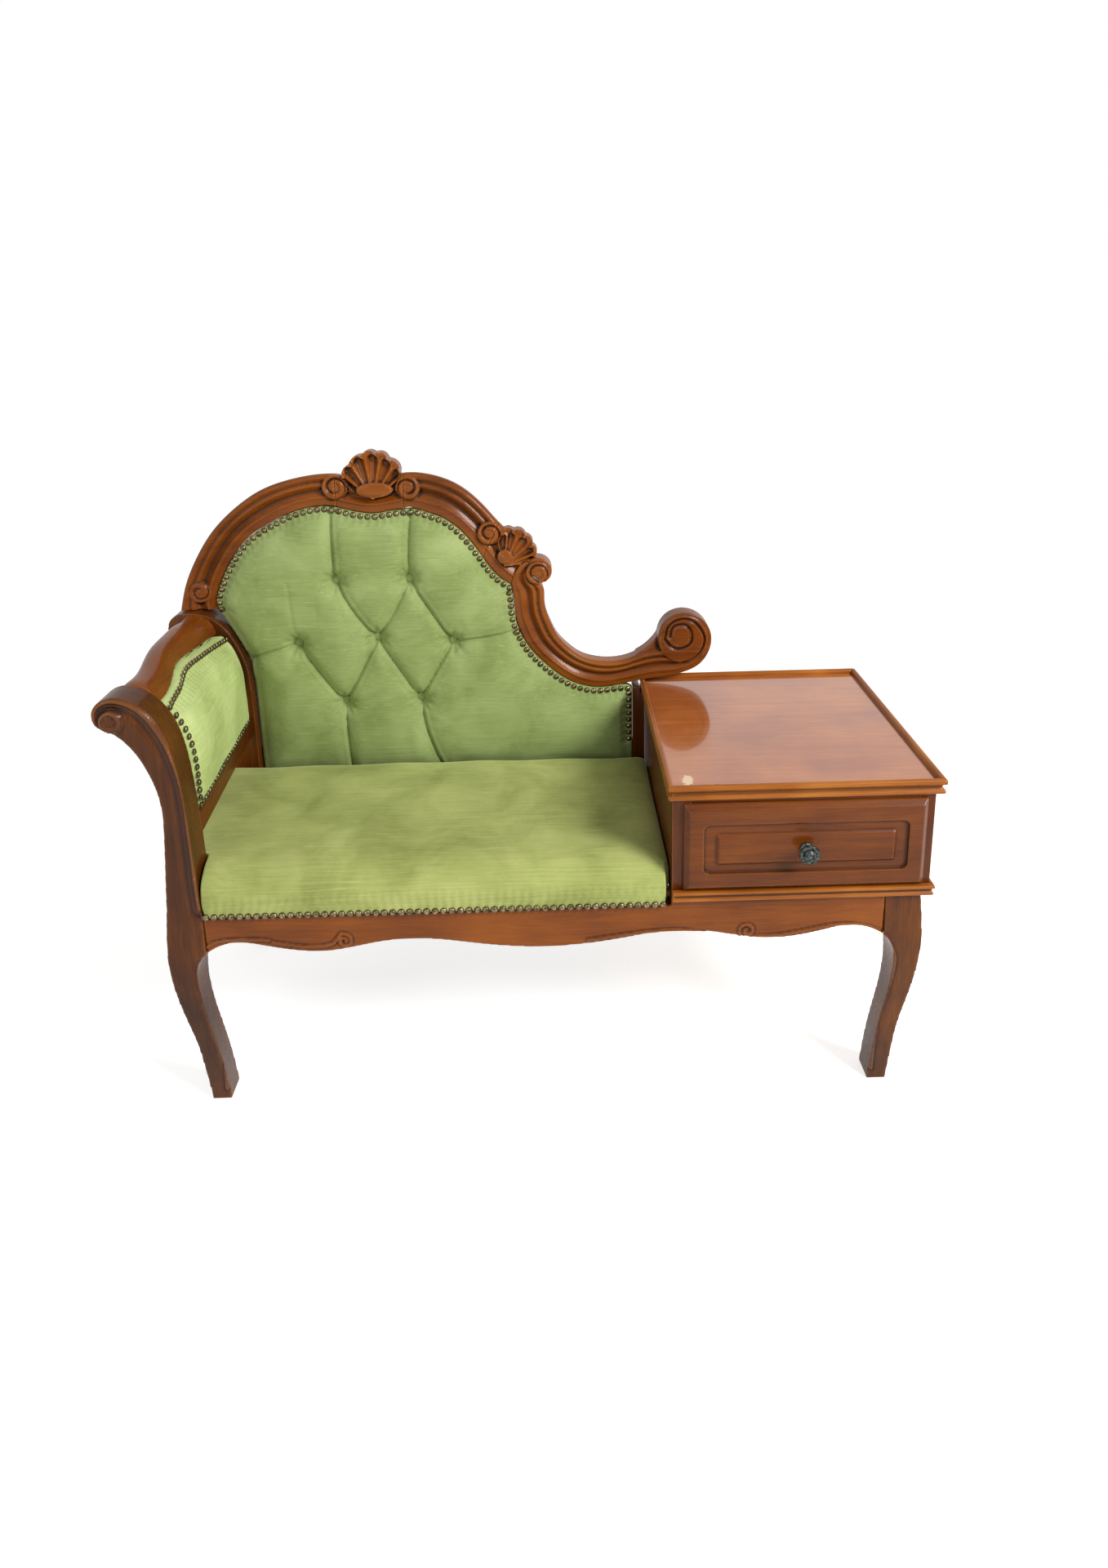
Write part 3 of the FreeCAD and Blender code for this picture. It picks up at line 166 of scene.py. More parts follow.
BEECH = {axis: stained_beech("stained_beech_grain_" + axis, axis, "#3F1D06", "#5C2B08",
                             "#743B0C") for axis in "XYZ"}
CARVED = {axis: stained_beech("carved_beech_grain_" + axis, axis, "#552808", "#7C3F0C",
                              "#9A5412", carved=True) for axis in "XYZ"}
# The legs and posts get a darker copy of the carved beech: painted shade, as they stand low,
# near the floor.
SHADED_LEG_BEECH = stained_beech("carved_beech_legs_painted_shade", "Z", "#2A1304", "#522908", "#77410F",
                          carved=True)
DRAWER_BEECH = stained_beech("carved_beech_drawer", "X", "#421E06", "#65310A", "#7F430F",
                             carved=True)
EDGE_BEECH = {axis: stained_beech("worn_beech_moulding_" + axis, axis, "#6B360C", "#945212",
                                  "#B9762C", carved=True) for axis in "XY"}
WORN_EDGE = stained_beech("worn_beech_arris", "X", "#6E3A12", "#8E5222", "#B57C48")
print("stained wood", len(BEECH) + len(CARVED) + len(EDGE_BEECH) + 3)

# %% [markdown]
# ## Veneer, plain wood and plywood
# The table top is a sheet of mahogany-coloured veneer under a clear gloss varnish, so it
# mirrors the room. It has one chipped patch near the front edge, where the pale wood below
# shows, and a pinhole beside it. Both are soft-edged masks round a point on the top. The
# hidden rails and the drawer's sides are planed beech left bare.


# %% Material: glossy veneer
def patch_mask(tree, place, centre, radii, noise):
    """1 inside a ragged oval round a point, 0 outside."""
    moved = add(tree, "ShaderNodeMapping", {
        "Vector": place, "Location": [-c / r for c, r in zip(centre, radii)],
        "Scale": [1.0 / r for r in radii]})
    reach = add(tree, "ShaderNodeVectorMath", {0: moved.outputs[0]}, operation="LENGTH")
    ragged = add(tree, "ShaderNodeMath", {0: noise, 1: 1.5}, operation="MULTIPLY")
    total = add(tree, "ShaderNodeMath", {0: reach.outputs["Value"], 1: ragged.outputs[0]})
    return add(tree, "ShaderNodeMapRange", {0: total.outputs[0], 1: 1.72, 2: 1.60,
                                            3: 0.0, 4: 1.0}).outputs[0]


def veneer(name):
    material, tree = new_material(name)
    place = add(tree, "ShaderNodeTexCoord").outputs["Object"]
    along = add(tree, "ShaderNodeMapping", {"Vector": place, "Scale": [0.05, 1.0, 1.0]})
    figure = add(tree, "ShaderNodeTexNoise", {"Vector": along.outputs[0], "Scale": 110.0,
                                              "Detail": 6.0, "Distortion": 1.0})
    cloud = add(tree, "ShaderNodeTexNoise", {"Vector": place, "Scale": 9.0, "Detail": 3.0})
    tone = add(tree, "ShaderNodeMix", {0: 0.65, 2: figure.outputs[0], 3: cloud.outputs[0]})
    colour = add(tree, "ShaderNodeValToRGB", {"Fac": tone.outputs[0]},
                 stops=[(0.36, "#9C552B"), (0.52, "#B0652F"), (0.70, "#C27C3E")]).outputs[0]
    ragged = add(tree, "ShaderNodeTexNoise", {"Vector": place, "Scale": 260.0, "Detail": 4.0})
    chip = patch_mask(tree, place, (0.2385, -0.165, 0.5015), (0.009, 0.016, 0.02),
                      ragged.outputs[0])
    pinhole = patch_mask(tree, place, (0.277, -0.181, 0.5015), (0.0035, 0.0035, 0.02),
                         ragged.outputs[0])
    colour = add(tree, "ShaderNodeMix", {0: chip, 6: colour, 7: linear("#E0BE93")},
                 data_type="RGBA").outputs[2]
    colour = add(tree, "ShaderNodeMix", {0: pinhole, 6: colour, 7: linear("#2B150C")},
                 data_type="RGBA").outputs[2]
    haze = add(tree, "ShaderNodeMapRange", {0: cloud.outputs[0], 1: 0.35, 2: 0.7, 3: 0.14,
                                            4: 0.26})
    relief = add(tree, "ShaderNodeBump", {"Strength": 0.5, "Distance": 0.0005, "Height": chip},
                 invert=True)
    shader = add(tree, "ShaderNodeBsdfPrincipled", {
        "Base Color": colour, "Roughness": haze.outputs[0], "Coat Weight": 0.8,
        "Coat Roughness": 0.04, "Normal": relief.outputs[0]})
    add(tree, "ShaderNodeOutputMaterial", {"Surface": shader.outputs[0]})
    return material


VENEER = veneer("glossy_mahogany_veneer")


def bare_wood(name, axis, dark, light):
    material, tree = new_material(name)
    place = add(tree, "ShaderNodeTexCoord").outputs["Object"]
    along = add(tree, "ShaderNodeMapping", {"Vector": place, "Scale": grain_scale(axis)})
    streaks = add(tree, "ShaderNodeTexNoise", {"Vector": along.outputs[0], "Scale": 300.0,
                                               "Detail": 5.0})
    colour = add(tree, "ShaderNodeValToRGB", {"Fac": streaks.outputs[0]},
                 stops=[(0.35, dark), (0.65, light)])
    relief = add(tree, "ShaderNodeBump", {"Strength": 0.1, "Distance": 0.0005,
                                          "Height": streaks.outputs[0]})
    shader = add(tree, "ShaderNodeBsdfPrincipled", {
        "Base Color": colour.outputs[0], "Roughness": 0.62, "Normal": relief.outputs[0]})
    add(tree, "ShaderNodeOutputMaterial", {"Surface": shader.outputs[0]})
    return material


BARE = {axis: bare_wood("planed_beech_grain_" + axis, axis, "#A07C50", "#C7A57A")
        for axis in "XY"}
PLYWOOD = bare_wood("birch_plywood", "Y", "#A88458", "#CDAE82")
print("veneer, bare wood and plywood made")

# %% [markdown]
# ## Velvet
# The cover is a short-pile velvet in a yellow-olive green. Its pile stands up, so it glows
# where it is seen edge-on, which is what the sheen of the shader is for. Years of use leave
# soft blotches, and thicker weft threads run across it as fine pale slubs, a couple of
# millimetres apart.


# %% Material: slubbed velvet
def velvet(name, dark, middle, light, sheen=0.55, across="X"):
    material, tree = new_material(name)
    place = add(tree, "ShaderNodeTexCoord").outputs["Object"]
    stretch = [0.03 if axis == across else 1.0 for axis in "XYZ"]
    weft = add(tree, "ShaderNodeMapping", {"Vector": place, "Scale": stretch})
    slub = add(tree, "ShaderNodeTexNoise", {"Vector": weft.outputs[0], "Scale": 420.0,
                                            "Detail": 3.0, "Roughness": 0.6})
    blotch = add(tree, "ShaderNodeTexNoise", {"Vector": place, "Scale": 11.0, "Detail": 5.0,
                                              "Roughness": 0.55, "Distortion": 0.5})
    pile = add(tree, "ShaderNodeTexNoise", {"Vector": place, "Scale": 900.0, "Detail": 2.0})
    half = add(tree, "ShaderNodeMix", {0: 0.30, 2: blotch.outputs[0], 3: slub.outputs[0]})
    tone = add(tree, "ShaderNodeMix", {0: 0.12, 2: half.outputs[0], 3: pile.outputs[0]})
    colour = add(tree, "ShaderNodeValToRGB", {"Fac": tone.outputs[0]},
                 stops=[(0.36, dark), (0.50, middle), (0.64, light)]).outputs[0]
    thread = add(tree, "ShaderNodeMapRange", {0: slub.outputs[0], 1: 0.66, 2: 0.76, 3: 0.0,
                                              4: 0.5})
    colour = add(tree, "ShaderNodeMix", {0: thread.outputs[0], 6: colour,
                                         7: linear("#C9D08F")}, data_type="RGBA").outputs[2]
    height = add(tree, "ShaderNodeMix", {0: 0.35, 2: slub.outputs[0], 3: pile.outputs[0]})
    relief = add(tree, "ShaderNodeBump", {"Strength": 0.25, "Distance": 0.0008,
                                          "Height": height.outputs[0]})
    shader = add(tree, "ShaderNodeBsdfPrincipled", {
        "Base Color": colour, "Roughness": 0.92, "Sheen Weight": sheen, "Sheen Roughness": 0.4,
        "Sheen Tint": linear("#D6E0A0"), "Specular IOR Level": 0.25,
        "Normal": relief.outputs[0]})
    add(tree, "ShaderNodeOutputMaterial", {"Surface": shader.outputs[0]})
    return material


# One dye in three copies. The arm's is lighter: painted light, for the sun on its inner face.
# The seat's and the back's differ a little, partly by pile direction and partly as painted light
# and shade.
SEAT_VELVET = velvet("olive_velvet_seat", "#8B914E", "#A2AA62", "#B6BB73")
BACK_VELVET = velvet("olive_velvet_back", "#7F8F52", "#93A364", "#A3B274")
LIT_ARM_VELVET = velvet("olive_velvet_arm_painted_light", "#9FB067", "#B9C97F", "#CCDA93", across="Y")
print("velvet", SEAT_VELVET.name, BACK_VELVET.name, LIT_ARM_VELVET.name)

# %% [markdown]
# ## Metals and cloths
# The nails are brass-plated steel, toned down to a dull antique bronze with patches of tarnish.
# The knob is a darker antique casting. The seat's underside has thin black cloth and jute
# webbing.


# %% Materials: antique metals and plain cloths
def antique_metal(name, dark, bright, roughness):
    material, tree = new_material(name)
    place = add(tree, "ShaderNodeTexCoord").outputs["Object"]
    tarnish = add(tree, "ShaderNodeTexNoise", {"Vector": place, "Scale": 260.0, "Detail": 4.0})
    colour = add(tree, "ShaderNodeValToRGB", {"Fac": tarnish.outputs[0]},
                 stops=[(0.38, dark), (0.66, bright)])
    haze = add(tree, "ShaderNodeMapRange", {0: tarnish.outputs[0], 1: 0.3, 2: 0.7,
                                            3: roughness + 0.15, 4: roughness})
    shader = add(tree, "ShaderNodeBsdfPrincipled", {
        "Base Color": colour.outputs[0], "Metallic": 1.0, "Roughness": haze.outputs[0]})
    add(tree, "ShaderNodeOutputMaterial", {"Surface": shader.outputs[0]})
    return material


def woven_cloth(name, dark, light, thread_mm):
    material, tree = new_material(name)
    place = add(tree, "ShaderNodeTexCoord").outputs["Object"]
    threads = 1.0 / (thread_mm * MM)
    warp = add(tree, "ShaderNodeTexWave", {"Vector": place, "Scale": threads / math.tau,
                                           "Distortion": 0.6}, bands_direction="X")
    weft = add(tree, "ShaderNodeTexWave", {"Vector": place, "Scale": threads / math.tau,
                                           "Distortion": 0.6}, bands_direction="Y")
    weave = add(tree, "ShaderNodeMath", {0: warp.outputs["Fac"], 1: weft.outputs["Fac"]},
                operation="MULTIPLY")
    colour = add(tree, "ShaderNodeValToRGB", {"Fac": weave.outputs[0]},
                 stops=[(0.1, dark), (0.8, light)])
    relief = add(tree, "ShaderNodeBump", {"Strength": 0.3, "Distance": 0.0004,
                                          "Height": weave.outputs[0]})
    shader = add(tree, "ShaderNodeBsdfPrincipled", {
        "Base Color": colour.outputs[0], "Roughness": 0.9, "Normal": relief.outputs[0]})
    add(tree, "ShaderNodeOutputMaterial", {"Surface": shader.outputs[0]})
    return material


NAIL_BRASS = antique_metal("antique_brass_nail", "#4E4230", "#8F8164", 0.30)
KNOB_BRASS = antique_metal("dark_antique_brass", "#1E2422", "#5E6461", 0.40)
STEEL = antique_metal("zinc_plated_steel", "#8A8A88", "#B5B5B2", 0.35)
DUST_CLOTH = woven_cloth("black_dust_cloth", "#0C0C0C", "#262626", 1.2)
JUTE = woven_cloth("jute_webbing", "#6B5836", "#A58F66", 2.0)
print("metals and cloths made")


# %% [markdown]
# ## Dressing the plain boards
# A cabinet maker eases every sharp edge with a stroke of sandpaper, and those edges catch the
# light and wear first. A CAD node's own mesh must stay as it is, so each visible board gets a
# merged copy that stands for its node, with a small bevel in the worn material.


# %% Copies of nodes with eased edges
def piece(name, mesh, body, materials, nodes=()):
    """A finished piece: its mesh, its materials, its body and the nodes it stands for."""
    made = bpy.data.objects.new(name, mesh)
    bpy.context.scene.collection.objects.link(made)
    mesh.materials.clear()
    for material in materials:
        mesh.materials.append(material)
    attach(made, body)
    if nodes:
        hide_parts(*nodes)
    return made


SLOTS = {row["node"]: row["material_slot"] for row in frame["record"]["subparts"]}
BODY = {node: body for body, members in frame["record"]["behaviour"]["bodies"].items()
        for node in members}


def merged_mesh(node, flat_angle=None):
    """A copy of a node's mesh with its loose triangles joined."""
    mesh = NODES[node].data.copy()
    work = bmesh.new()
    work.from_mesh(mesh)
    bmesh.ops.remove_doubles(work, verts=work.verts, dist=0.00001)
    if flat_angle is not None:
        bmesh.ops.dissolve_limit(work, angle_limit=flat_angle, verts=work.verts,
                                 edges=work.edges)
    work.to_mesh(mesh)
    work.free()
    return mesh


def eased_board(node, axis, width=0.0007):
    mesh = merged_mesh(node, math.radians(1.0))
    board = piece("board_" + node, mesh, BODY[node], [BEECH[axis], WORN_EDGE],
                  [node])
    edge = board.modifiers.new("eased edge", "BEVEL")
    edge.width = width
    edge.segments = 2
    edge.limit_method = "ANGLE"
    edge.angle_limit = math.radians(35.0)
    edge.material = 1
    edge.harden_normals = True
    board.data.shade_smooth()
    return board


BOARD_GRAIN = {
    "cabinet_left_side": "Y", "cabinet_right_side": "Y", "left_face_stile": "Z",
    "right_face_stile": "Z", "upper_face_rail": "X", "lower_face_rail": "X",
    "back_right_stile": "Z", "left_seat_rail": "Y",
    "arm_bottom_rail": "Y",
}
for node, axis in BOARD_GRAIN.items():
    if node in SLOTS:
        eased_board(node, axis)
print("eased boards", len(BOARD_GRAIN))

# %% [markdown]
# The other rigid nodes already have the right shape, so they only get a better material.

# %% Materials for the nodes that stay
NODE_MATERIAL = {
    "table_top": VENEER, "cabinet_back": PLYWOOD, "drawer_bottom": PLYWOOD,
    "seat_nails": NAIL_BRASS, "back_nails": NAIL_BRASS, "arm_nails": NAIL_BRASS,
    "drawer_knob": KNOB_BRASS, "table_screws": STEEL, "knob_screw": STEEL,
    "rear_right_leg": BEECH["Z"], "drawer_left_side": BARE["Y"],
    "drawer_right_side": BARE["Y"], "drawer_back": BARE["X"], "seat_cross_rail": BARE["Y"],
    "right_seat_rail": BARE["Y"], "drawer_runners": BARE["Y"], "drawer_guides": BARE["Y"],
    "drawer_kickers": BARE["Y"], "drawer_stops": BARE["Y"], "corner_blocks": BARE["X"],
    "rear_seat_rail": BARE["X"], "back_bottom_rail": BARE["X"], "cabinet_bottom": BARE["X"],
}
for node, material in NODE_MATERIAL.items():
    mesh = NODES[node].data
    mesh.materials.clear()
    mesh.materials.append(material)
print("nodes kept", len(NODE_MATERIAL))

# %% [markdown]
# ## Carving
# The frame is carved: beads run along its edges, end in small scrolls and frame two shells.
# Carving moves wood in and out by a few millimetres, so each carved node gets a copy rebuilt
# in even cells, a voxel remesh, and the points of that copy move along their own normals. A
# stroke of the gouge is a path with a cross-section: how far the wood stands or sinks at each
# distance from the path.


# %% Strokes of the gouge
def smooth_path(points, steps=8):
    """A smooth curve through the points, as a fine polyline."""
    p = np.array([points[0], *points, points[-1]], float)
    p[0] = 2 * p[1] - p[2]
    p[-1] = 2 * p[-2] - p[-3]
    t = np.linspace(0.0, 1.0, steps, endpoint=False)[:, None]
    out = []
    for i in range(1, len(p) - 2):
        a, b, c, d = p[i - 1], p[i], p[i + 1], p[i + 2]
        out.append(0.5 * (2 * b + (c - a) * t + (2 * a - 5 * b + 4 * c - d) * t ** 2
                          + (3 * b - a - 3 * c + d) * t ** 3))
    return np.vstack(out + [p[-2:-1]])


def path_distance(points, path):
    """Each point's distance from the path, the side it is on, and its share of the way."""
    best = np.full(len(points), 1e9)
    side = np.zeros(len(points))
    share = np.zeros(len(points))
    for i, (start, end) in enumerate(zip(path[:-1], path[1:])):
        along = end - start
        length2 = max(along @ along, 1e-12)
        t = np.clip(((points - start) @ along) / length2, 0.0, 1.0)
        gap = points - start - t[:, None] * along
        d = np.sqrt((gap ** 2).sum(1))
        nearer = d < best
        best[nearer] = d[nearer]
        side[nearer] = np.sign(along[0] * gap[nearer, 1] - along[1] * gap[nearer, 0])
        share[nearer] = (i + t[nearer]) / (len(path) - 1)
    return best, side, share


def bead(d, half, rise, sink):
    """A half-round bead with a narrow groove on each side of it."""
    body = rise * np.sqrt(np.clip(1.0 - (d / half) ** 2, 0.0, 1.0))
    return body - sink * np.exp(-((d - 1.25 * half) / (0.42 * half)) ** 2)


def spiral(centre, radius, start_degrees, turns, shrink=0.25, way=1):
    """Points that wind inwards round a centre."""
    points = []
    count = int(14 * turns) + 2
    for i in range(count):
        share = i / (count - 1)
        angle = math.radians(start_degrees) + way * math.tau * turns * share
        r = radius * (1.0 - (1.0 - shrink) * share)
        points.append((centre[0] + r * math.cos(angle), centre[1] + r * math.sin(angle)))
    return points


# %% [markdown]
# A remeshed copy has sharp arrises rounded by about one cell. Two rounds of smoothing take out
# the cell pattern. After the carving, each point's height above its neighbours' mean says
# whether it is a ridge or a hollow. The stained beech paints the hollows darker, as shade and
# built-up stain, and the ridges paler, as wear and painted highlight.


# %% Carved copies
def remeshed(mesh, cell_mm, smooth_rounds):
    holder = bpy.data.objects.new("holder", mesh)
    bpy.context.scene.collection.objects.link(holder)
    grid = holder.modifiers.new("cells", "REMESH")
    grid.mode = "VOXEL"
    grid.voxel_size = cell_mm * MM
    if smooth_rounds:
        soft = holder.modifiers.new("soft", "SMOOTH")
        soft.factor = 0.5
        soft.iterations = smooth_rounds
    graph = bpy.context.evaluated_depsgraph_get()
    made = bpy.data.meshes.new_from_object(holder.evaluated_get(graph))
    bpy.data.objects.remove(holder)
    return made


def read_points(mesh):
    co = np.empty(len(mesh.vertices) * 3)
    mesh.vertices.foreach_get("co", co)
    normals = np.empty(len(mesh.vertices) * 3, np.float32)
    mesh.vertex_normals.foreach_get("vector", normals)
    return co.reshape(-1, 3), normals.reshape(-1, 3).astype(float)


def write_points(mesh, co):
    mesh.vertices.foreach_set("co", co.astype(np.float32).ravel())
    mesh.update()


def neighbour_mean(mesh, values):
    """The mean of each point's neighbours' values."""
    edges = np.empty(len(mesh.edges) * 2, np.int64)
    mesh.edges.foreach_get("vertices", edges)
    a, b = edges[0::2], edges[1::2]
    values = values.reshape(len(values), -1)
    total = np.zeros_like(values)
    count = np.zeros(len(values))
    for one, other in ((a, b), (b, a)):
        np.add.at(total, one, values[other])
        np.add.at(count, one, 1.0)
    return total / np.maximum(count, 1.0)[:, None]


def mark_relief(mesh, cell_mm):
    co, normals = read_points(mesh)
    mean = co
    for _ in range(6):
        mean = neighbour_mean(mesh, mean)
    height = ((co - mean) * normals).sum(1) / (cell_mm * MM)
    height = neighbour_mean(mesh, height)[:, 0]
    # The hollow values darken the wood as painted shade and built-up stain; the ridge values
    # lighten it as wear and painted highlight.
    for name, values in (("ridge", height * 1.5 - 0.25), ("hollow_stain_and_shade", -height * 2.4 - 0.12)):
        attribute = mesh.attributes.new(name, "FLOAT", "POINT")
        attribute.data.foreach_set("value", np.clip(values, 0.0, 1.0).astype(np.float32))


def facing(normals, way, low=0.25, high=0.6):
    """How squarely each point faces a way, from 0 to 1."""
    share = normals @ np.array(way, float)
    return np.clip((share - low) / (high - low), 0.0, 1.0)


# %% [markdown]
# ## The beads of the legs and the apron
# One bead runs up the inner edge of each front leg, over the knee and along the apron, where
# it steps down and curls into a small scroll. The same bead runs round the arm's front post
# and its boss. The paths below are in millimetres, X across and Z up, on the front face.


# %% Paths of the beads
LEFT_LEG_BEAD = smooth_path([(-451, 20), (-448, 62), (-447, 101), (-452, 130), (-460, 174),
                             (-464, 203), (-465, 230), (-460, 253)])
APRON_LEFT_BEAD = smooth_path([(-462, 256), (-449, 275), (-431, 283), (-400, 285.6),
                               (-375, 284.7), (-359, 283)])
APRON_STEP_BEAD = smooth_path([(-356, 279.6), (-337, 276), (-312, 271.5), (-290, 270.5),
                               (-272, 274), (-262, 284), (-257, 291)]
                              + spiral((-253, 279), 11.5, 100, 1.4, 0.2, -1))
APRON_MIDDLE_BEAD = smooth_path([(94, 268), (160, 277), (216, 281), (252, 277), (292, 267.5),
                                 (308, 265.5)] + spiral((323, 276), 12.5, 215, 1.3, 0.2, -1))
APRON_RIGHT_BEAD = smooth_path([(337, 267), (368, 267.5), (407, 274), (443.5, 281),
                                (473, 281.5), (500, 276), (524, 262)])
RIGHT_LEG_BEAD = smooth_path([(521, 264), (533.5, 240), (538, 221), (536, 194), (530, 155),
                              (523, 110), (520, 62), (521, 20)])
POST_BEAD = smooth_path([(-553, 600), (-559, 612), (-561.5, 625), (-560.6, 637), (-554.5, 646),
                         (-546, 651), (-536, 653), (-524, 651), (-512, 646), (-502, 639),
                         (-491, 627), (-481, 610), (-472.5, 592), (-465.5, 570.5),
                         (-459.5, 546), (-456, 522), (-454, 492), (-454, 465), (-454, 406),
                         (-454, 360), (-453, 336)])
print("bead points", sum(len(p) for p in (LEFT_LEG_BEAD, APRON_LEFT_BEAD, POST_BEAD)))


def front_relief(co, normals, amount):
    """Moves the front-facing points forward by an amount in mm."""
    offset = np.zeros_like(co)
    offset[:, 1] = -amount * facing(normals, (0, -1, 0))
    return offset


def xz(co):
    return co[:, [0, 2]]


def step_mask(d, near, far):
    """1 up to near, 0 from far on, and smooth between."""
    t = np.clip((far - d) / (far - near), 0.0, 1.0)
    return t * t * (3 - 2 * t)


def beads(co, paths, half=3.0, rise=1.5, sink=1.6):
    total = np.zeros(len(co))
    for path in paths:
        d = path_distance(xz(co), path)[0]
        total += bead(d, half, rise, sink) * step_mask(d, half * 2.0, half * 3.0)
    return total


# %% [markdown]
# A volute replaces the moulding inside a disc. Its height is worked out in polar terms: a
# rounded band winds inwards, with a sharp groove between its turns, and ends on a domed eye.


# %% Volutes
def volute_height(points, centre, radius, eye, turns, start, way, rise, groove):
    away = points - np.array(centre)
    r = np.sqrt((away ** 2).sum(1))
    angle = np.arctan2(away[:, 1], away[:, 0]) - math.radians(start)
    pitch = (radius - eye) / turns
    phase = ((r - eye) / pitch + way * angle / math.tau) % 1.0
    band = np.abs(np.sin(math.pi * phase)) ** 0.35
    height = rise * band - groove * (1.0 - band)
    dome = rise * np.clip(1.0 - (r / (eye + 0.5)) ** 2, 0.0, 1.0) ** 0.3
    height = np.where(r < eye, dome, height)
    return height, r


def place_volute(co, normals, offset, face, centre, radius, eye, turns, start, way,
                 rise=2.0, groove=2.2, soft=1.5):
    """Turns the front-facing points of a disc into a volute that stands on a plane."""
    height, r = volute_height(xz(co), centre, radius, eye, turns, start, way, rise, groove)
    mask = step_mask(r, radius - soft, radius + soft) * facing(normals, (0, -1, 0), 0.05, 0.35)
    target = face - height
    offset[:, 1] += mask * (target - co[:, 1] - offset[:, 1])


def uncut(co, normals):
    """No offset: the piece keeps the shape of its CAD solid."""
    return np.zeros_like(co)


def carved_piece(node, material, shape, cell_mm=1.7, smooth_rounds=3):
    """shape(co_mm, normals) gives each point's offset in mm."""
    mesh = remeshed(merged_mesh(node), cell_mm, smooth_rounds)
    co, normals = read_points(mesh)
    write_points(mesh, co + shape(co / MM, normals) * MM)
    mark_relief(mesh, cell_mm)
    mesh.shade_smooth()
    made = piece("carved_" + node, mesh, BODY[node], [material], [node])
    print(made.name, len(mesh.vertices))
    return made


# %% [markdown]
# ## Legs, apron and the arm's front post
# The post is one piece of wood from the foot to the arm's scroll. Inside its upper bead the
# face is hollowed, and the boss at the top carries a small spiral.

# %% Carve the front legs, the apron and the arm post
def left_post(co, normals):
    high = co[:, 2] > 320.0
    low_relief = beads(co, [LEFT_LEG_BEAD])
    d, side, _ = path_distance(xz(co), POST_BEAD)
    bead_relief = bead(d, 3.4, 1.6, 1.4) * step_mask(d, 6.0, 9.0)
    cove = -3.2 * np.exp(-((d - 11.0) / 5.5) ** 2) * (side < 0)
    offset = front_relief(co, normals, np.where(high, bead_relief + cove, low_relief))
    place_volute(co, normals, offset, -195.0, (-539, 624), 16.0, 4.0, 1.6, 200, -1, 1.4, 2.0)
    return offset


carved_piece("front_left_post", SHADED_LEG_BEECH, left_post)
carved_piece("front_right_leg", SHADED_LEG_BEECH, lambda co, normals: front_relief(
    co, normals, beads(co, [RIGHT_LEG_BEAD])))


def apron(co, normals):
    relief = beads(co, [APRON_LEFT_BEAD, APRON_STEP_BEAD, APRON_MIDDLE_BEAD,
                        APRON_RIGHT_BEAD], 2.6, 1.6, 1.5)
    return front_relief(co, normals, relief)


carved_piece("front_apron", CARVED["X"], apron)
carved_piece("rear_left_post", SHADED_LEG_BEECH, uncut, 2.0)
carved_piece("arm_top_rail", CARVED["Y"], uncut, 1.8)

# %% [markdown]
# ## The carved back
# Two arches meet at a shell. Each arch ends beside it in a scroll. Lower on the right a
# second, smaller shell has a scroll of its own, then the rail sweeps down and out over the
# table and winds into the great volute.


# %% Carve the back frame
CREST_LEFT = (-299, 863.5), 21.0, 8.5, 1.0, -90, 1, 4.0, 4.0
CREST_RIGHT = (-179, 859.5), 20.0, 8.0, 1.0, -90, -1, 4.0, 4.0
SHOULDER_LEFT = (-47, 779), 20.0, 8.0, 1.0, -100, 1, 4.0, 4.0


def left_arch(co, normals):
    offset = np.zeros_like(co)
    place_volute(co, normals, offset, 197.0, *CREST_LEFT)
    place_volute(co, normals, offset, 200.0, (-541, 688), 18.0, 6.0, 1.0, 90, -1, 2.5, 2.5)
    return offset


def right_arch(co, normals):
    offset = np.zeros_like(co)
    place_volute(co, normals, offset, 197.0, *CREST_RIGHT)
    place_volute(co, normals, offset, 197.0, *SHOULDER_LEFT)
    return offset


def shell_scoop(co, normals, foot, rim, boss, boss_radius, face, depth):
    """Scoops the face out under a scalloped rim, which is the top of each flute as points,
    and leaves a smooth boss at the foot."""
    away = xz(co) - np.array(foot)
    r = np.sqrt((away ** 2).sum(1))
    angle = np.degrees(np.arctan2(away[:, 1], away[:, 0])) % 360.0
    tops = np.array(rim, float) - np.array(foot)
    top_angle = np.degrees(np.arctan2(tops[:, 1], tops[:, 0])) % 360.0
    order = np.argsort(top_angle)
    top_angle, reach = top_angle[order], np.sqrt((tops[order] ** 2).sum(1))
    flute = np.interp(angle, top_angle, np.arange(len(rim)))
    ripple = np.abs(np.sin(math.pi * flute)) ** 3
    edge = np.interp(angle, top_angle, reach) - 3.0 - 6.0 * ripple
    inside = step_mask(r, edge - 1.2, edge + 1.2)
    inside *= step_mask(top_angle[0] - 12.0 - angle, -4.0, 4.0)
    inside *= step_mask(angle - top_angle[-1] - 12.0, -4.0, 4.0)
    share = np.clip(r / edge, 0.0, 1.0)
    bowl = depth * np.clip((share - 0.25) / 0.6, 0.0, 1.0) ** 0.8
    bowl *= 1.0 - 0.7 * ripple
    target = face + bowl
    d = np.sqrt(((xz(co) - np.array(boss)) ** 2 / np.array(boss_radius) ** 2).sum(1))
    swell = face + 1.0 - 3.0 * np.sqrt(np.clip(1.0 - d ** 2, 0, 1))
    target = np.where(d < 1.0, swell, target)
    inside = np.maximum(inside, step_mask(d, 0.95, 1.05)) * facing(normals, (0, -1, 0), 0.0, 0.2)
    offset = np.zeros_like(co)
    offset[:, 1] = inside * (target - co[:, 1])
    return offset


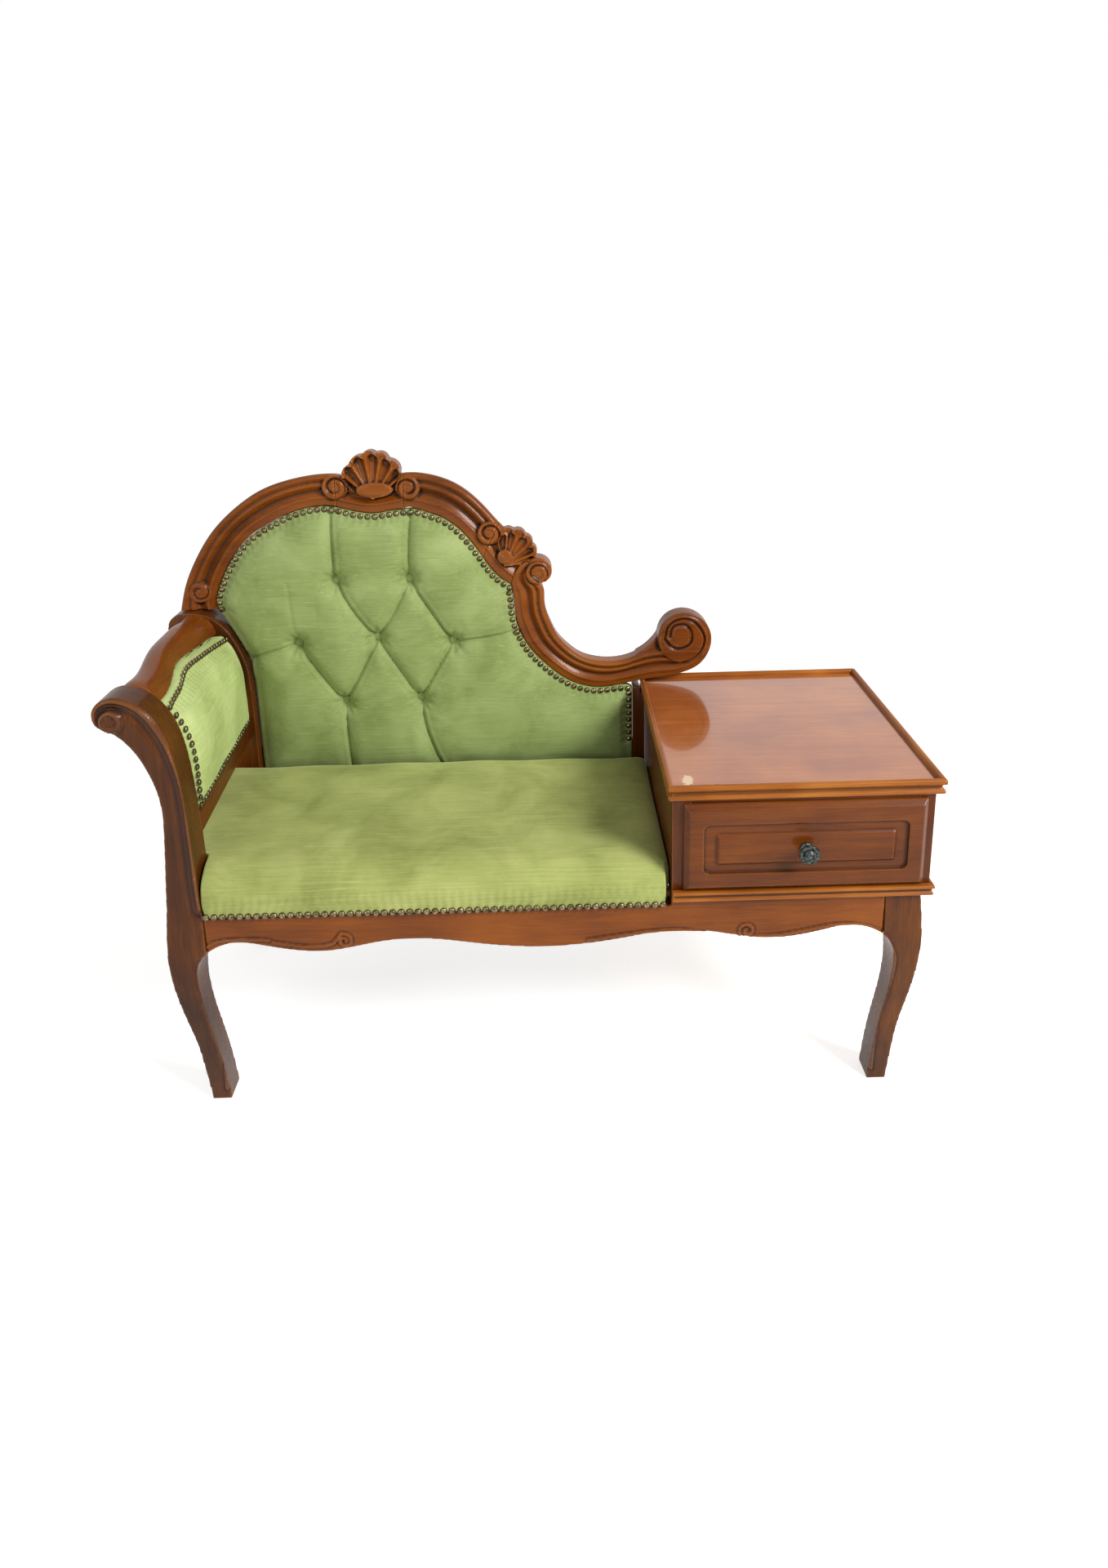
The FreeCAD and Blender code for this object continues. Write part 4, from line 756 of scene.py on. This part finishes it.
CREST_RIM = [(-290, 876), (-281, 896), (-261, 914), (-233, 920), (-208, 910), (-190, 890),
             (-184, 872)]
SHOULDER_RIM = [(-22, 778), (-11, 783), (15, 771), (28, 750), (32, 736)]


def crest(co, normals):
    offset = shell_scoop(co, normals, (-236, 843), CREST_RIM, (-233, 858), (30, 13), 190.0,
                         13.0)
    place_volute(co, normals, offset, 197.0, *CREST_LEFT)
    place_volute(co, normals, offset, 197.0, *CREST_RIGHT)
    return offset


def shoulder(co, normals):
    offset = shell_scoop(co, normals, (-24, 722), SHOULDER_RIM, (-22, 738), (13, 13), 193.0,
                         10.0)
    place_volute(co, normals, offset, 197.0, *SHOULDER_LEFT)
    return offset


GREAT_RING = smooth_path([(228, 519), (250, 532), (277, 539), (300, 548), (313, 563),
                          (318, 582), (312, 599), (299, 614), (281, 620), (264, 615),
                          (253, 603), (250, 587)])
GREAT_SPIRAL = smooth_path([(249, 584), (260, 570), (275, 566), (291, 573), (296, 586),
                            (292, 601), (282, 609), (267, 608), (260, 599), (258, 587)])


GREAT_DISC = (280.0, 583.0)


def sweep(co, normals):
    """The great volute is a flat disc with a ring groove and a spiral groove."""
    offset = np.zeros_like(co)
    flat = xz(co)
    r = np.sqrt(((flat - np.array(GREAT_DISC)) ** 2).sum(1))
    groove = np.zeros(len(co))
    for path, half in ((GREAT_RING, 1.9), (GREAT_SPIRAL, 2.2)):
        d = path_distance(flat, path)[0]
        groove = np.maximum(groove, np.exp(-(d / half) ** 2))
    target = 195.5 + 4.2 * groove
    mask = step_mask(r, 41.0, 44.0) * facing(normals, (0, -1, 0), 0.0, 0.3)
    offset[:, 1] += mask * (target - co[:, 1])
    place_volute(co, normals, offset, 196.0, (32, 708), 20.0, 9.0, 1.0, -90, 1, 3.0, 3.5)
    return offset


carved_piece("drawer_front", DRAWER_BEECH, uncut, 1.3, 2)
for node, axis in (("top_moulding_front", "X"), ("top_moulding_back", "X"),
                   ("top_moulding_left", "Y"), ("top_moulding_right", "Y"),
                   ("base_moulding_front", "X"), ("base_moulding_side", "Y")):
    carved_piece(node, EDGE_BEECH[axis], uncut, 1.3, 2)
carved_piece("back_left_arch", CARVED["X"], left_arch)
carved_piece("back_right_arch", CARVED["X"], right_arch)
carved_piece("back_crest_rail", CARVED["X"], crest, 1.3)
carved_piece("back_shoulder_block", CARVED["X"], shoulder, 1.3)
carved_piece("back_sweep_rail", CARVED["X"], sweep, 1.6)

# %% [markdown]
# ## Upholstery nails
# About a hundred and sixty nail heads follow the edges of the cloth, 12 mm apart. A Geometry
# Nodes group puts one small dome on every place, turns it to its outward direction and tips
# and sizes each a little differently, as hammered nails are. The places are read from the CAD
# rows, one per loose dome.


# %% Repeats with Geometry Nodes
def loose_parts(mesh):
    """Each loose part's points, as arrays."""
    leader = np.arange(len(mesh.vertices))
    edges = np.empty(len(mesh.edges) * 2, np.int64)
    mesh.edges.foreach_get("vertices", edges)
    a, b = edges[0::2], edges[1::2]
    while True:
        low = np.minimum(leader[a], leader[b])
        before = leader.copy()
        np.minimum.at(leader, a, low)
        np.minimum.at(leader, b, low)
        leader = leader[leader]
        if (leader == before).all():
            break
    co = read_points(mesh)[0]
    return [co[leader == first] for first in np.unique(leader)]


def repeat_group():
    group = bpy.data.node_groups.new("repeat on places", "GeometryNodeTree")
    sockets = group.interface
    for name, kind in (("Places", "NodeSocketGeometry"), ("Shape", "NodeSocketObject"),
                       ("Tilt", "NodeSocketFloat"), ("Size change", "NodeSocketFloat"),
                       ("Seed", "NodeSocketInt"), ("Material", "NodeSocketMaterial")):
        sockets.new_socket(name, in_out="INPUT", socket_type=kind)
    sockets.new_socket("Pieces", in_out="OUTPUT", socket_type="NodeSocketGeometry")
    given = add(group, "NodeGroupInput").outputs
    outward = add(group, "GeometryNodeInputNamedAttribute", {0: "outward"},
                  data_type="FLOAT_VECTOR").outputs[0]
    aligned = add(group, "FunctionNodeAlignRotationToVector", {"Vector": outward}, axis="Z")
    low_tilt = add(group, "ShaderNodeMath", {0: given["Tilt"], 1: -1.0}, operation="MULTIPLY")
    tip = add(group, "FunctionNodeRandomValue", {0: low_tilt.outputs[0], 1: given["Tilt"],
                                                 "Seed": given["Seed"]},
              data_type="FLOAT_VECTOR")
    turned = add(group, "FunctionNodeRotateRotation", {0: aligned.outputs[0],
                                                       1: tip.outputs[0]},
                 rotation_space="LOCAL")
    small = add(group, "ShaderNodeMath", {0: 1.0, 1: given["Size change"]},
                operation="SUBTRACT")
    large = add(group, "ShaderNodeMath", {0: 1.0, 1: given["Size change"]})
    sizes = add(group, "FunctionNodeRandomValue", {2: small.outputs[0], 3: large.outputs[0],
                                                   "Seed": given["Seed"]},
                data_type="FLOAT")
    shape = add(group, "GeometryNodeObjectInfo", {"Object": given["Shape"]})
    copies = add(group, "GeometryNodeInstanceOnPoints", {
        "Points": given["Places"], "Instance": shape.outputs["Geometry"],
        "Rotation": turned.outputs[0], "Scale": sizes.outputs[1]})
    real = add(group, "GeometryNodeRealizeInstances", {0: copies.outputs[0]})
    painted = add(group, "GeometryNodeSetMaterial", {"Geometry": real.outputs[0],
                                                     "Material": given["Material"]})
    add(group, "NodeGroupOutput", {0: painted.outputs[0]})
    return group


REPEAT = repeat_group()


def repeated(name, places, outward, shape, material, tilt=0.0, change=0.0, seed=1):
    """One mesh of copies of the shape on the places, which are in metres."""
    points = bpy.data.meshes.new(name + "_places")
    points.from_pydata([tuple(p) for p in places], [], [])
    way = points.attributes.new("outward", "FLOAT_VECTOR", "POINT")
    way.data.foreach_set("vector", np.array(outward, np.float32).ravel())
    holder = bpy.data.objects.new(name + "_holder", points)
    bpy.context.scene.collection.objects.link(holder)
    nodes = holder.modifiers.new("repeat", "NODES")
    nodes.node_group = REPEAT
    inputs = {item.name: item.identifier for item in REPEAT.interface.items_tree
              if item.in_out == "INPUT"}
    for label, value in (("Shape", shape), ("Tilt", tilt), ("Size change", change),
                         ("Seed", seed), ("Material", material)):
        nodes[inputs[label]] = value
    graph = bpy.context.evaluated_depsgraph_get()
    mesh = bpy.data.meshes.new_from_object(holder.evaluated_get(graph))
    bpy.data.objects.remove(holder)
    mesh.shade_smooth()
    return mesh


def revolved(name, profile, segments):
    """A closed turned shape round Z. The profile runs from the top centre to the base."""
    work = bmesh.new()
    rings = []
    for r, z in profile:
        if r == 0.0:
            rings.append([work.verts.new((0, 0, z))])
        else:
            rings.append([work.verts.new((r * math.cos(math.tau * i / segments),
                                          r * math.sin(math.tau * i / segments), z))
                          for i in range(segments)])
    for upper, lower in zip(rings[:-1], rings[1:]):
        for i in range(segments):
            j = (i + 1) % segments
            corners = [upper[i % len(upper)], lower[i % len(lower)], lower[j % len(lower)],
                       upper[j % len(upper)]]
            work.faces.new(list(dict.fromkeys(corners)))
    bmesh.ops.recalc_face_normals(work, faces=work.faces)
    mesh = bpy.data.meshes.new(name)
    work.to_mesh(mesh)
    work.free()
    made = bpy.data.objects.new(name, mesh)
    bpy.context.scene.collection.objects.link(made)
    return made


# %% Nail heads along the cloth
NAIL_PROFILE = [(0.0, 3.2), (2.3, 2.85), (4.2, 1.75), (5.2, 0.0), (0.0, 0.0)]
NAIL_HEAD = revolved("nail_head", [(r * MM, z * MM) for r, z in NAIL_PROFILE], 10)


def dress_nails(node, outward, seed):
    axis = int(np.argmax(np.abs(outward)))
    places = []
    for part in loose_parts(merged_mesh(node)):
        low, high = part.min(0), part.max(0)
        centre = (low + high) / 2.0
        centre[axis] = low[axis] if outward[axis] > 0 else high[axis]
        places.append(centre)
    mesh = repeated("heads_" + node, places, [outward] * len(places), NAIL_HEAD, NAIL_BRASS,
                    tilt=math.radians(5.0), change=0.04, seed=seed)
    made = piece("heads_" + node, mesh, "bench", [NAIL_BRASS], [node])
    print(node, len(places), "heads,", len(made.data.polygons), "faces")
    return np.array(places) / MM


SEAT_NAILS = dress_nails("seat_nails", (0, -1, 0), 3)
BACK_NAILS = dress_nails("back_nails", (0, -1, 0), 4)
ARM_NAILS = dress_nails("arm_nails", (1, 0, 0), 5)
bpy.data.objects.remove(NAIL_HEAD)

# %% [markdown]
# ## Upholstery
# Each pad is horsehair and wadding pulled tight under velvet. The copy of its CAD solid is
# remeshed in 5 mm cells, blown up a little by the cloth solver with its nailed edges and tufts
# held, subdivided once, and then creased: pleats between the buttons, puckers round them and a
# dent at every nail.


# %% Stuffing a pad
def blown_up(mesh, held, cap_mm, pressure):
    """The mesh after 20 frames of cloth under pressure. held is 1 where a point stays."""
    start = read_points(mesh)[0]
    soft = bpy.data.objects.new("soft", mesh)
    bpy.context.scene.collection.objects.link(soft)
    group = soft.vertex_groups.new(name="held")
    for level in range(1, 11):
        chosen = np.nonzero(np.round(held * 10) == level)[0]
        group.add(chosen.tolist(), level / 10.0, "REPLACE")
    cloth = soft.modifiers.new("cloth", "CLOTH")
    cloth.settings.vertex_group_mass = "held"
    cloth.settings.use_pressure = True
    cloth.settings.uniform_pressure_force = pressure
    cloth.settings.effector_weights.gravity = 0.0
    cloth.settings.quality = 5
    cloth.point_cache.frame_start = 1
    cloth.point_cache.frame_end = 20
    scene = bpy.context.scene
    for number in range(1, 21):
        scene.frame_set(number)
    graph = bpy.context.evaluated_depsgraph_get()
    made = bpy.data.meshes.new_from_object(soft.evaluated_get(graph))
    bpy.data.objects.remove(soft)
    scene.frame_set(1)
    move = read_points(made)[0] - start
    length = np.sqrt((move ** 2).sum(1))
    share = np.minimum(1.0, cap_mm * MM / np.maximum(length, 1e-9))
    write_points(made, start + move * share[:, None])
    print("blown up, mm:", round(float(length.max()) / MM, 1), "capped at", cap_mm)
    return made


def subdivided(mesh):
    holder = bpy.data.objects.new("holder", mesh)
    bpy.context.scene.collection.objects.link(holder)
    finer = holder.modifiers.new("finer", "SUBSURF")
    finer.levels = finer.render_levels = 1
    graph = bpy.context.evaluated_depsgraph_get()
    made = bpy.data.meshes.new_from_object(holder.evaluated_get(graph))
    bpy.data.objects.remove(holder)
    return made


def stuffed(node, material, cell_mm, held, cap_mm, form, creases, pressure=4.0):
    """form shapes the coarse pad, held says what the solver leaves, creases come last."""
    mesh = remeshed(merged_mesh(node), cell_mm, 2)
    co, normals = read_points(mesh)
    write_points(mesh, form(co / MM, normals) * MM)
    co, normals = read_points(mesh)
    mesh = blown_up(mesh, held(co / MM, normals), cap_mm, pressure)
    mesh = subdivided(mesh)
    co, normals = read_points(mesh)
    write_points(mesh, co + creases(co / MM, normals) * MM)
    mesh.shade_smooth()
    made = piece("velvet_" + node, mesh, "bench", [material], [node])
    print(made.name, len(mesh.polygons))
    return made


def nearest(points, places):
    """The distance from each point to the nearest place."""
    best = np.full(len(points), 1e9)
    for place in places:
        best = np.minimum(best, np.sqrt(((points - place) ** 2).sum(1)))
    return best


def nailed_down(co, normals, nails, outward, slope=1.1):
    """The offset that keeps a pad under its row of nails. The cloth may rise by the slope
    from a ring 5 mm round each nail."""
    axis = int(np.argmax(np.abs(outward)))
    way = float(np.sign(outward[axis]))
    flat = [i for i in range(3) if i != axis]
    best = np.full(len(co), 1e9)
    base = np.zeros(len(co))
    for nail in nails:
        d = np.sqrt(((co[:, flat] - nail[flat]) ** 2).sum(1))
        closer = d < best
        best[closer] = d[closer]
        base[closer] = nail[axis]
    allowed = base * way + slope * np.clip(best - 5.0, 0.0, None) - 0.2
    above = np.clip(co[:, axis] * way - allowed, 0.0, None)
    offset = np.zeros_like(co)
    offset[:, axis] = -way * above * (best < 40.0) * facing(normals, outward, -0.05, 0.15)
    print("pressed under the nails, mm:", round(float(above[best < 8.0].max()), 1))
    return offset


# %% [markdown]
# ### The seat pad
# The seat rolls up from its nails over about sixty millimetres and is nearly flat on top. It
# is pressed against the left post without falling off there, and falls a little towards the
# table and the back.

# %% Seat pad
SEAT_FRONT, SEAT_BACK, SEAT_RIGHT = -196.0, 168.0, 213.5
SEAT_EDGE, SEAT_TOP = 344.0, 391.0


def roll_off(d, run, drop):
    """How far the surface has dropped at a distance from an edge."""
    t = np.clip(1.0 - d / run, 0.0, 1.0)
    return drop * (1.0 - np.sqrt(np.clip(1.0 - t ** 2.4, 0.0, 1.0)))


def seat_form(co, normals):
    x, y, z = co.T
    drop = roll_off(y - SEAT_FRONT, 78.0, 44.0)
    drop = np.maximum(drop, roll_off(SEAT_BACK - y, 55.0, 22.0))
    drop = np.maximum(drop, roll_off(SEAT_RIGHT - x, 60.0, 24.0))
    left_edge = -477.5 - 28.5 * (y + 139.5) / 307.5
    left_edge = np.where(y < -139.5, -449.5, left_edge)
    drop -= 6.0 * np.exp(-((x - left_edge) / 26.0) ** 2) * step_mask(-y, 130.0, 110.0)
    wave = 2.5 * np.cos((x + 120.0) / 115.0) * np.cos(y / 120.0)
    target = SEAT_TOP + wave - drop
    on_top = np.clip((z - SEAT_EDGE + 6.0) / 8.0, 0.0, 1.0) * np.clip(normals[:, 2] * 4.0, 0, 1)
    out = co.copy()
    out[:, 2] = z + on_top * (target - z)
    sideways = facing(normals, (-1, 0, 0), 0.2, 0.7) * (z > 350.0) * (y > -132.0)
    out[:, 0] -= 7.0 * sideways
    return out


def seat_held(co, normals):
    low = np.clip((SEAT_EDGE + 12.0 - co[:, 2]) / 12.0, 0.0, 1.0)
    return np.maximum(low, 0.15)


def seat_creases(co, normals):
    x, y, z = co.T
    to_nail = np.abs(x[:, None] - SEAT_NAILS[None, :, 0]).min(1)
    near = step_mask(y - SEAT_FRONT, 2.0, 26.0) * (z > 326.0)
    dent = -1.3 * np.exp(-(to_nail / 3.2) ** 2) * np.exp(-((z - 330.0) / 9.0) ** 2)
    pull = 0.7 * np.cos(x * math.tau / 12.3) * np.exp(-((z - 346.0) / 12.0) ** 2)
    hand = 0.8 * np.sin(x / 23.0 + 1.7 * np.sin(y / 31.0)) * np.clip(normals[:, 2], 0.0, 1.0)
    offset = normals * ((dent - pull * 0.6) * near + hand)[:, None]
    return offset + nailed_down(co + offset, normals, SEAT_NAILS, (0, -1, 0))


stuffed("seat_pad", SEAT_VELVET, 5.0, seat_held, 6.0, seat_form, seat_creases)

# %% [markdown]
# ### The back pad
# Seven covered buttons pull the back in. The cloth between them is folded into pleats, each a
# dark crease with a soft lip on one side. More pleats run out to the edges.

# %% Back pad
BUTTONS = np.array([(-308.0, 705.5), (-184.0, 705.5), (-380.0, 595.5), (-244.0, 602.5),
                    (-116.0, 593.5), (-307.0, 486.5), (-176.0, 489.5)])
TOP_LEFT, TOP_RIGHT, MID_LEFT, MID, MID_RIGHT, LOW_LEFT, LOW_RIGHT = BUTTONS
BACK_PLEATS = [
    [(-310, 832), (-309, 770), TOP_LEFT], [(-178, 822), (-182, 765), TOP_RIGHT],
    [TOP_LEFT, (-279, 650), MID], [TOP_RIGHT, (-212, 650), MID],
    [TOP_RIGHT, (-148, 646), MID_RIGHT], [MID_LEFT, (-345, 540), LOW_LEFT],
    [MID, (-272, 548), LOW_LEFT], [MID, (-212, 550), LOW_RIGHT],
    [MID_RIGHT, (-148, 540), LOW_RIGHT], [MID_LEFT, (-425, 583), (-472, 566)],
    [MID_RIGHT, (-60, 600), (-6, 606)], [LOW_LEFT, (-306, 430), (-304, 352)],
    [LOW_RIGHT, (-166, 430), (-140, 352)],
]
BACK_PLEATS = [smooth_path(points) for points in BACK_PLEATS]
FAINT_FOLD = smooth_path([MID_LEFT, (-384, 650), (-386, 705)])


def back_form(co, normals):
    """Sinks the buttons and the pleats into the pad, so that it stands in cushions."""
    flat = xz(co)
    to_button = nearest(flat, BUTTONS)
    sunk = 10.0 * np.exp(-(to_button / 20.0) ** 2) + 7.0 * np.exp(-(to_button / 9.0) ** 2)
    for path in BACK_PLEATS:
        d = path_distance(flat, path)[0]
        sunk = np.maximum(sunk, 4.5 * np.exp(-(d / 11.0) ** 2))
    out = co.copy()
    front = facing(normals, (0, -1, 0), 0.05, 0.5)
    out[:, 1] += front * (sunk - 1.5)
    out[:, 1] = np.where(front > 0.0, np.minimum(out[:, 1], 205.0), out[:, 1])
    return out


def back_held(co, normals):
    behind = np.clip((co[:, 1] - 188.0) / 5.0, 0.0, 1.0)
    tuft = np.exp(-(nearest(xz(co), BUTTONS) / 9.0) ** 2)
    pleat = np.zeros(len(co))
    for path in BACK_PLEATS:
        pleat = np.maximum(pleat, 0.6 * np.exp(-(path_distance(xz(co), path)[0] / 5.0) ** 2))
    return np.clip(np.maximum(np.maximum(behind, tuft), pleat), 0.05, 1.0)


def back_creases(co, normals):
    flat = xz(co)
    depth = np.zeros(len(co))
    for number, path in enumerate(BACK_PLEATS):
        d, side, _ = path_distance(flat, path)
        crease = -4.6 * np.exp(-(d / 2.2) ** 2)
        lip = 1.8 * np.exp(-((d - 5.0) / 3.6) ** 2) * (side * (-1) ** number > 0)
        depth += crease + lip
    d = path_distance(flat, FAINT_FOLD)[0]
    depth -= 1.2 * np.exp(-(d / 4.0) ** 2)
    to_button = nearest(flat, BUTTONS)
    for place in BUTTONS:
        away = flat - place
        angle = np.arctan2(away[:, 1], away[:, 0])
        r = np.sqrt((away ** 2).sum(1))
        depth += 1.3 * np.cos(9 * angle + place[0]) * np.exp(-((r - 15.0) / 8.0) ** 2)
    depth -= 2.0 * np.exp(-(to_button / 8.0) ** 2)
    offset = np.zeros_like(co)
    offset[:, 1] = -depth * facing(normals, (0, -1, 0), 0.05, 0.4)
    offset[:, 1] = np.minimum(co[:, 1] + offset[:, 1], 207.0) - co[:, 1]
    for place in BUTTONS:
        near = np.sqrt(((flat - place) ** 2).sum(1)) < 4.0
        middle = (co + offset)[near & (normals[:, 1] < -0.2), 1]
        print("cloth under a button, y in mm:", round(float(middle.mean()), 1))
    return offset + nailed_down(co + offset, normals, BACK_NAILS, (0, -1, 0))


stuffed("back_pad", BACK_VELVET, 4.5, back_held, 5.0, back_form, back_creases)

# %% [markdown]
# ### Covered buttons
# Each button is a metal shell about 17 mm across covered in the same velvet, so it is a low
# dome with a rounded rim.

# %% Covered buttons
BUTTON_PROFILE = [(0.0, 5.6), (3.6, 5.2), (6.6, 3.9), (8.3, 2.0), (8.6, 0.6), (7.6, -0.6),
                  (0.0, -0.8)]
BUTTON_SHAPE = revolved("button", [(r * MM, z * MM) for r, z in BUTTON_PROFILE], 20)
BUTTON_Y = 0.2035
button_mesh = repeated("buttons", [(x * MM, BUTTON_Y, z * MM) for x, z in BUTTONS],
                       [(0, -1, 0)] * len(BUTTONS), BUTTON_SHAPE, BACK_VELVET,
                       tilt=math.radians(4.0), change=0.02, seed=8)
bpy.data.objects.remove(BUTTON_SHAPE)
piece("covered_buttons", button_mesh, "bench", [BACK_VELVET],
      ["back_buttons"])

# %% [markdown]
# ### The arm
# The arm is padded on its inner side and covered on its outer side. Its inner face rolls out
# over the top, with a row of nails under the wooden rail.


# %% Arm pads
def arm_held(co, normals):
    out = np.clip(normals[:, 0] * 3.0, 0.0, 1.0)
    edge = np.maximum(step_mask(co[:, 2] - 457.0, 4.0, 16.0),
                      step_mask(np.abs(co[:, 1] - 20.0), 162.0, 148.0))
    return np.clip(1.0 - out * (1.0 - edge), 0.1, 1.0)


def arm_creases(co, normals):
    to_nail = nearest(co[:, 1:], ARM_NAILS[:, 1:])
    dent = -1.2 * np.exp(-((to_nail - 3.0) / 4.0) ** 2)
    hand = 0.7 * np.sin(co[:, 1] / 19.0 + 1.5 * np.sin(co[:, 2] / 27.0))
    offset = normals * ((dent + hand) * np.clip(np.abs(normals[:, 0]), 0.0, 1.0))[:, None]
    return offset + nailed_down(co + offset, normals, ARM_NAILS, (1, 0, 0))


def as_it_is(co, normals):
    return co


stuffed("arm_pad", LIT_ARM_VELVET, 5.0, arm_held, 5.0, as_it_is, arm_creases)
stuffed("arm_outer_cover", LIT_ARM_VELVET, 3.0, lambda co, normals: np.ones(len(co)), 1.0,
        as_it_is, uncut)

# %% [markdown]
# ## Under and behind
# Black dust cloth closes the underside and the back of the pad. Ten jute straps carry the
# seat, six to the back and four across, woven over and under each other.


# %% Cloth sheets
def cloth_sheet(name, node, material):
    mesh = merged_mesh(node)
    made = piece(name, mesh, "bench", [material], [node])
    return made


cloth_sheet("dust_cloth", "dust_cover", DUST_CLOTH)
cloth_sheet("lining_cloth", "back_lining", DUST_CLOTH)

# %% [markdown]
# A strap is a ribbon 48 mm wide and under 2 mm thick. Where two cross, one dips and the other
# rises, in turn, like a basket.


# %% Webbing
def strap(work, start, end, width, thick, lift):
    """A ribbon from start to end whose height comes from lift at each step."""
    start, end = Vector(start), Vector(end)
    along = (end - start)
    side = Vector((0, 0, 1)).cross(along).normalized() * (width / 2.0)
    steps = 60
    rows = []
    for i in range(steps + 1):
        share = i / steps
        middle = start + along * share + Vector((0, 0, lift(start + along * share)))
        rows.append([work.verts.new(middle + a * side + Vector((0, 0, b * thick / 2.0)))
                     for a, b in ((-1, -1), (1, -1), (1, 1), (-1, 1))])
    for before, after in zip(rows[:-1], rows[1:]):
        for i in range(4):
            j = (i + 1) % 4
            work.faces.new((before[i], before[j], after[j], after[i]))
    work.faces.new(rows[0])
    work.faces.new(rows[-1][::-1])


STRAP_X = [-0.412, -0.310, -0.208, -0.106, -0.004, 0.098]
STRAP_Y = [-0.102, -0.028, 0.046, 0.120]
STRAP_Z = 0.32195


def weave(places, own, size):
    def lift(point):
        total = 0.0
        for number, place in enumerate(places):
            near = math.exp(-((point[size] - place) / 0.03) ** 2)
            total += near * (-1) ** (number + own)
        return 0.00095 * max(-1.0, min(1.0, total))
    return lift


work = bmesh.new()
for number, x in enumerate(STRAP_X):
    strap(work, (x, -0.1675, STRAP_Z), (x, 0.1985, STRAP_Z), 0.048, 0.0015,
          weave(STRAP_Y, number, 1))
for number, y in enumerate(STRAP_Y):
    strap(work, (-0.4485, y, STRAP_Z), (0.188, y, STRAP_Z), 0.048, 0.0015,
          weave(STRAP_X, number + 1, 0))
bmesh.ops.recalc_face_normals(work, faces=work.faces)
strap_mesh = bpy.data.meshes.new("webbing")
work.to_mesh(strap_mesh)
work.free()
piece("webbing_straps", strap_mesh, "bench", [JUTE], ["seat_webbing"])

# %% [markdown]
# ## Stage
# The bench stands on a plain pale floor that keeps its shadow. The background is white for the
# camera and in reflections, and the light on the object stays at a plain level.


# %% Floor, world, lamps and camera
def seen_share(tree, lighting, seen):
    """One strength for lighting, another for what the camera, gloss and glass see."""
    path = add(tree, "ShaderNodeLightPath").outputs
    looks = add(tree, "ShaderNodeMath", {0: path["Is Camera Ray"], 1: path["Is Glossy Ray"]},
                operation="MAXIMUM")
    looks = add(tree, "ShaderNodeMath", {0: looks.outputs[0], 1: path["Is Transmission Ray"]},
                operation="MAXIMUM")
    return add(tree, "ShaderNodeMapRange", {0: looks.outputs[0], 3: lighting,
                                            4: seen}).outputs[0]


floor_mesh = bpy.data.meshes.new("floor")
FLOOR_HALF = 6
floor_corners = [(x * FLOOR_HALF, y * FLOOR_HALF, 0)
                 for x, y in ((-1, -1), (1, -1), (1, 1), (-1, 1))]
floor_mesh.from_pydata(floor_corners, [], [(0, 1, 2, 3)])
floor = bpy.data.objects.new("floor", floor_mesh)
bpy.context.scene.collection.objects.link(floor)
floor_paint, tree = new_material("pale_floor")
cover = add(tree, "ShaderNodeBsdfDiffuse", {"Color": linear("#F4F4F2")})
glow = add(tree, "ShaderNodeEmission", {"Strength": seen_share(tree, 0.0, 0.64)})
both = add(tree, "ShaderNodeAddShader", {0: cover.outputs[0], 1: glow.outputs[0]})
add(tree, "ShaderNodeOutputMaterial", {"Surface": both.outputs[0]})
floor_mesh.materials.append(floor_paint)

world = bpy.data.worlds.new("studio")
bpy.context.scene.world = world
world.use_nodes = True
tree = world.node_tree
tree.nodes.clear()
sky = add(tree, "ShaderNodeBackground", {"Color": (1, 1, 1, 1),
                                         "Strength": seen_share(tree, 0.38, 1.0)})
add(tree, "ShaderNodeOutputWorld", {"Surface": sky.outputs[0]})


def soft_lamp(name, place, target, size, power):
    light = bpy.data.lights.new(name, "AREA")
    light.shape = "DISK"
    light.size = size
    light.energy = power
    lamp = bpy.data.objects.new(name, light)
    lamp.location = place
    lamp.rotation_euler = (Vector(target) - Vector(place)).to_track_quat("-Z", "Y").to_euler()
    bpy.context.scene.collection.objects.link(lamp)
    lamp.visible_camera = False


soft_lamp("key", (2.1, -1.7, 2.3), (-0.1, 0, 0.45), 1.1, 96.0)
soft_lamp("fill", (-1.6, -2.2, 1.5), (0, 0, 0.4), 1.8, 14.0)

# The camera stands a little above the table, close to the bench, and is turned slightly.
CAMERA_PLACE = (0.051, -1.451, 1.164)
FOCAL_PX, PHOTO_HEIGHT_PX, SENSOR_MM = 1235.7, 1920.0, 36.0
YAW, PITCH, ROLL = (math.radians(a) for a in (0.81, 14.82, 1.2))
ahead = Vector((math.sin(YAW) * math.cos(PITCH), math.cos(YAW) * math.cos(PITCH),
                -math.sin(PITCH)))
right = Vector((math.cos(YAW), -math.sin(YAW), 0.0))
down = ahead.cross(right)
rolled_right = math.cos(ROLL) * right + math.sin(ROLL) * down
rolled_down = -math.sin(ROLL) * right + math.cos(ROLL) * down
lens = bpy.data.cameras.new("camera")
lens.lens = FOCAL_PX / PHOTO_HEIGHT_PX * SENSOR_MM
lens.shift_x, lens.shift_y = -0.0052, -0.142
camera = bpy.data.objects.new("camera", lens)
camera.matrix_world = Matrix.Translation(CAMERA_PLACE) @ Matrix(
    (rolled_right, -rolled_down, -ahead)).transposed().to_4x4()
bpy.context.scene.collection.objects.link(camera)
bpy.context.scene.camera = camera
bpy.context.scene.view_settings.view_transform = "Standard"
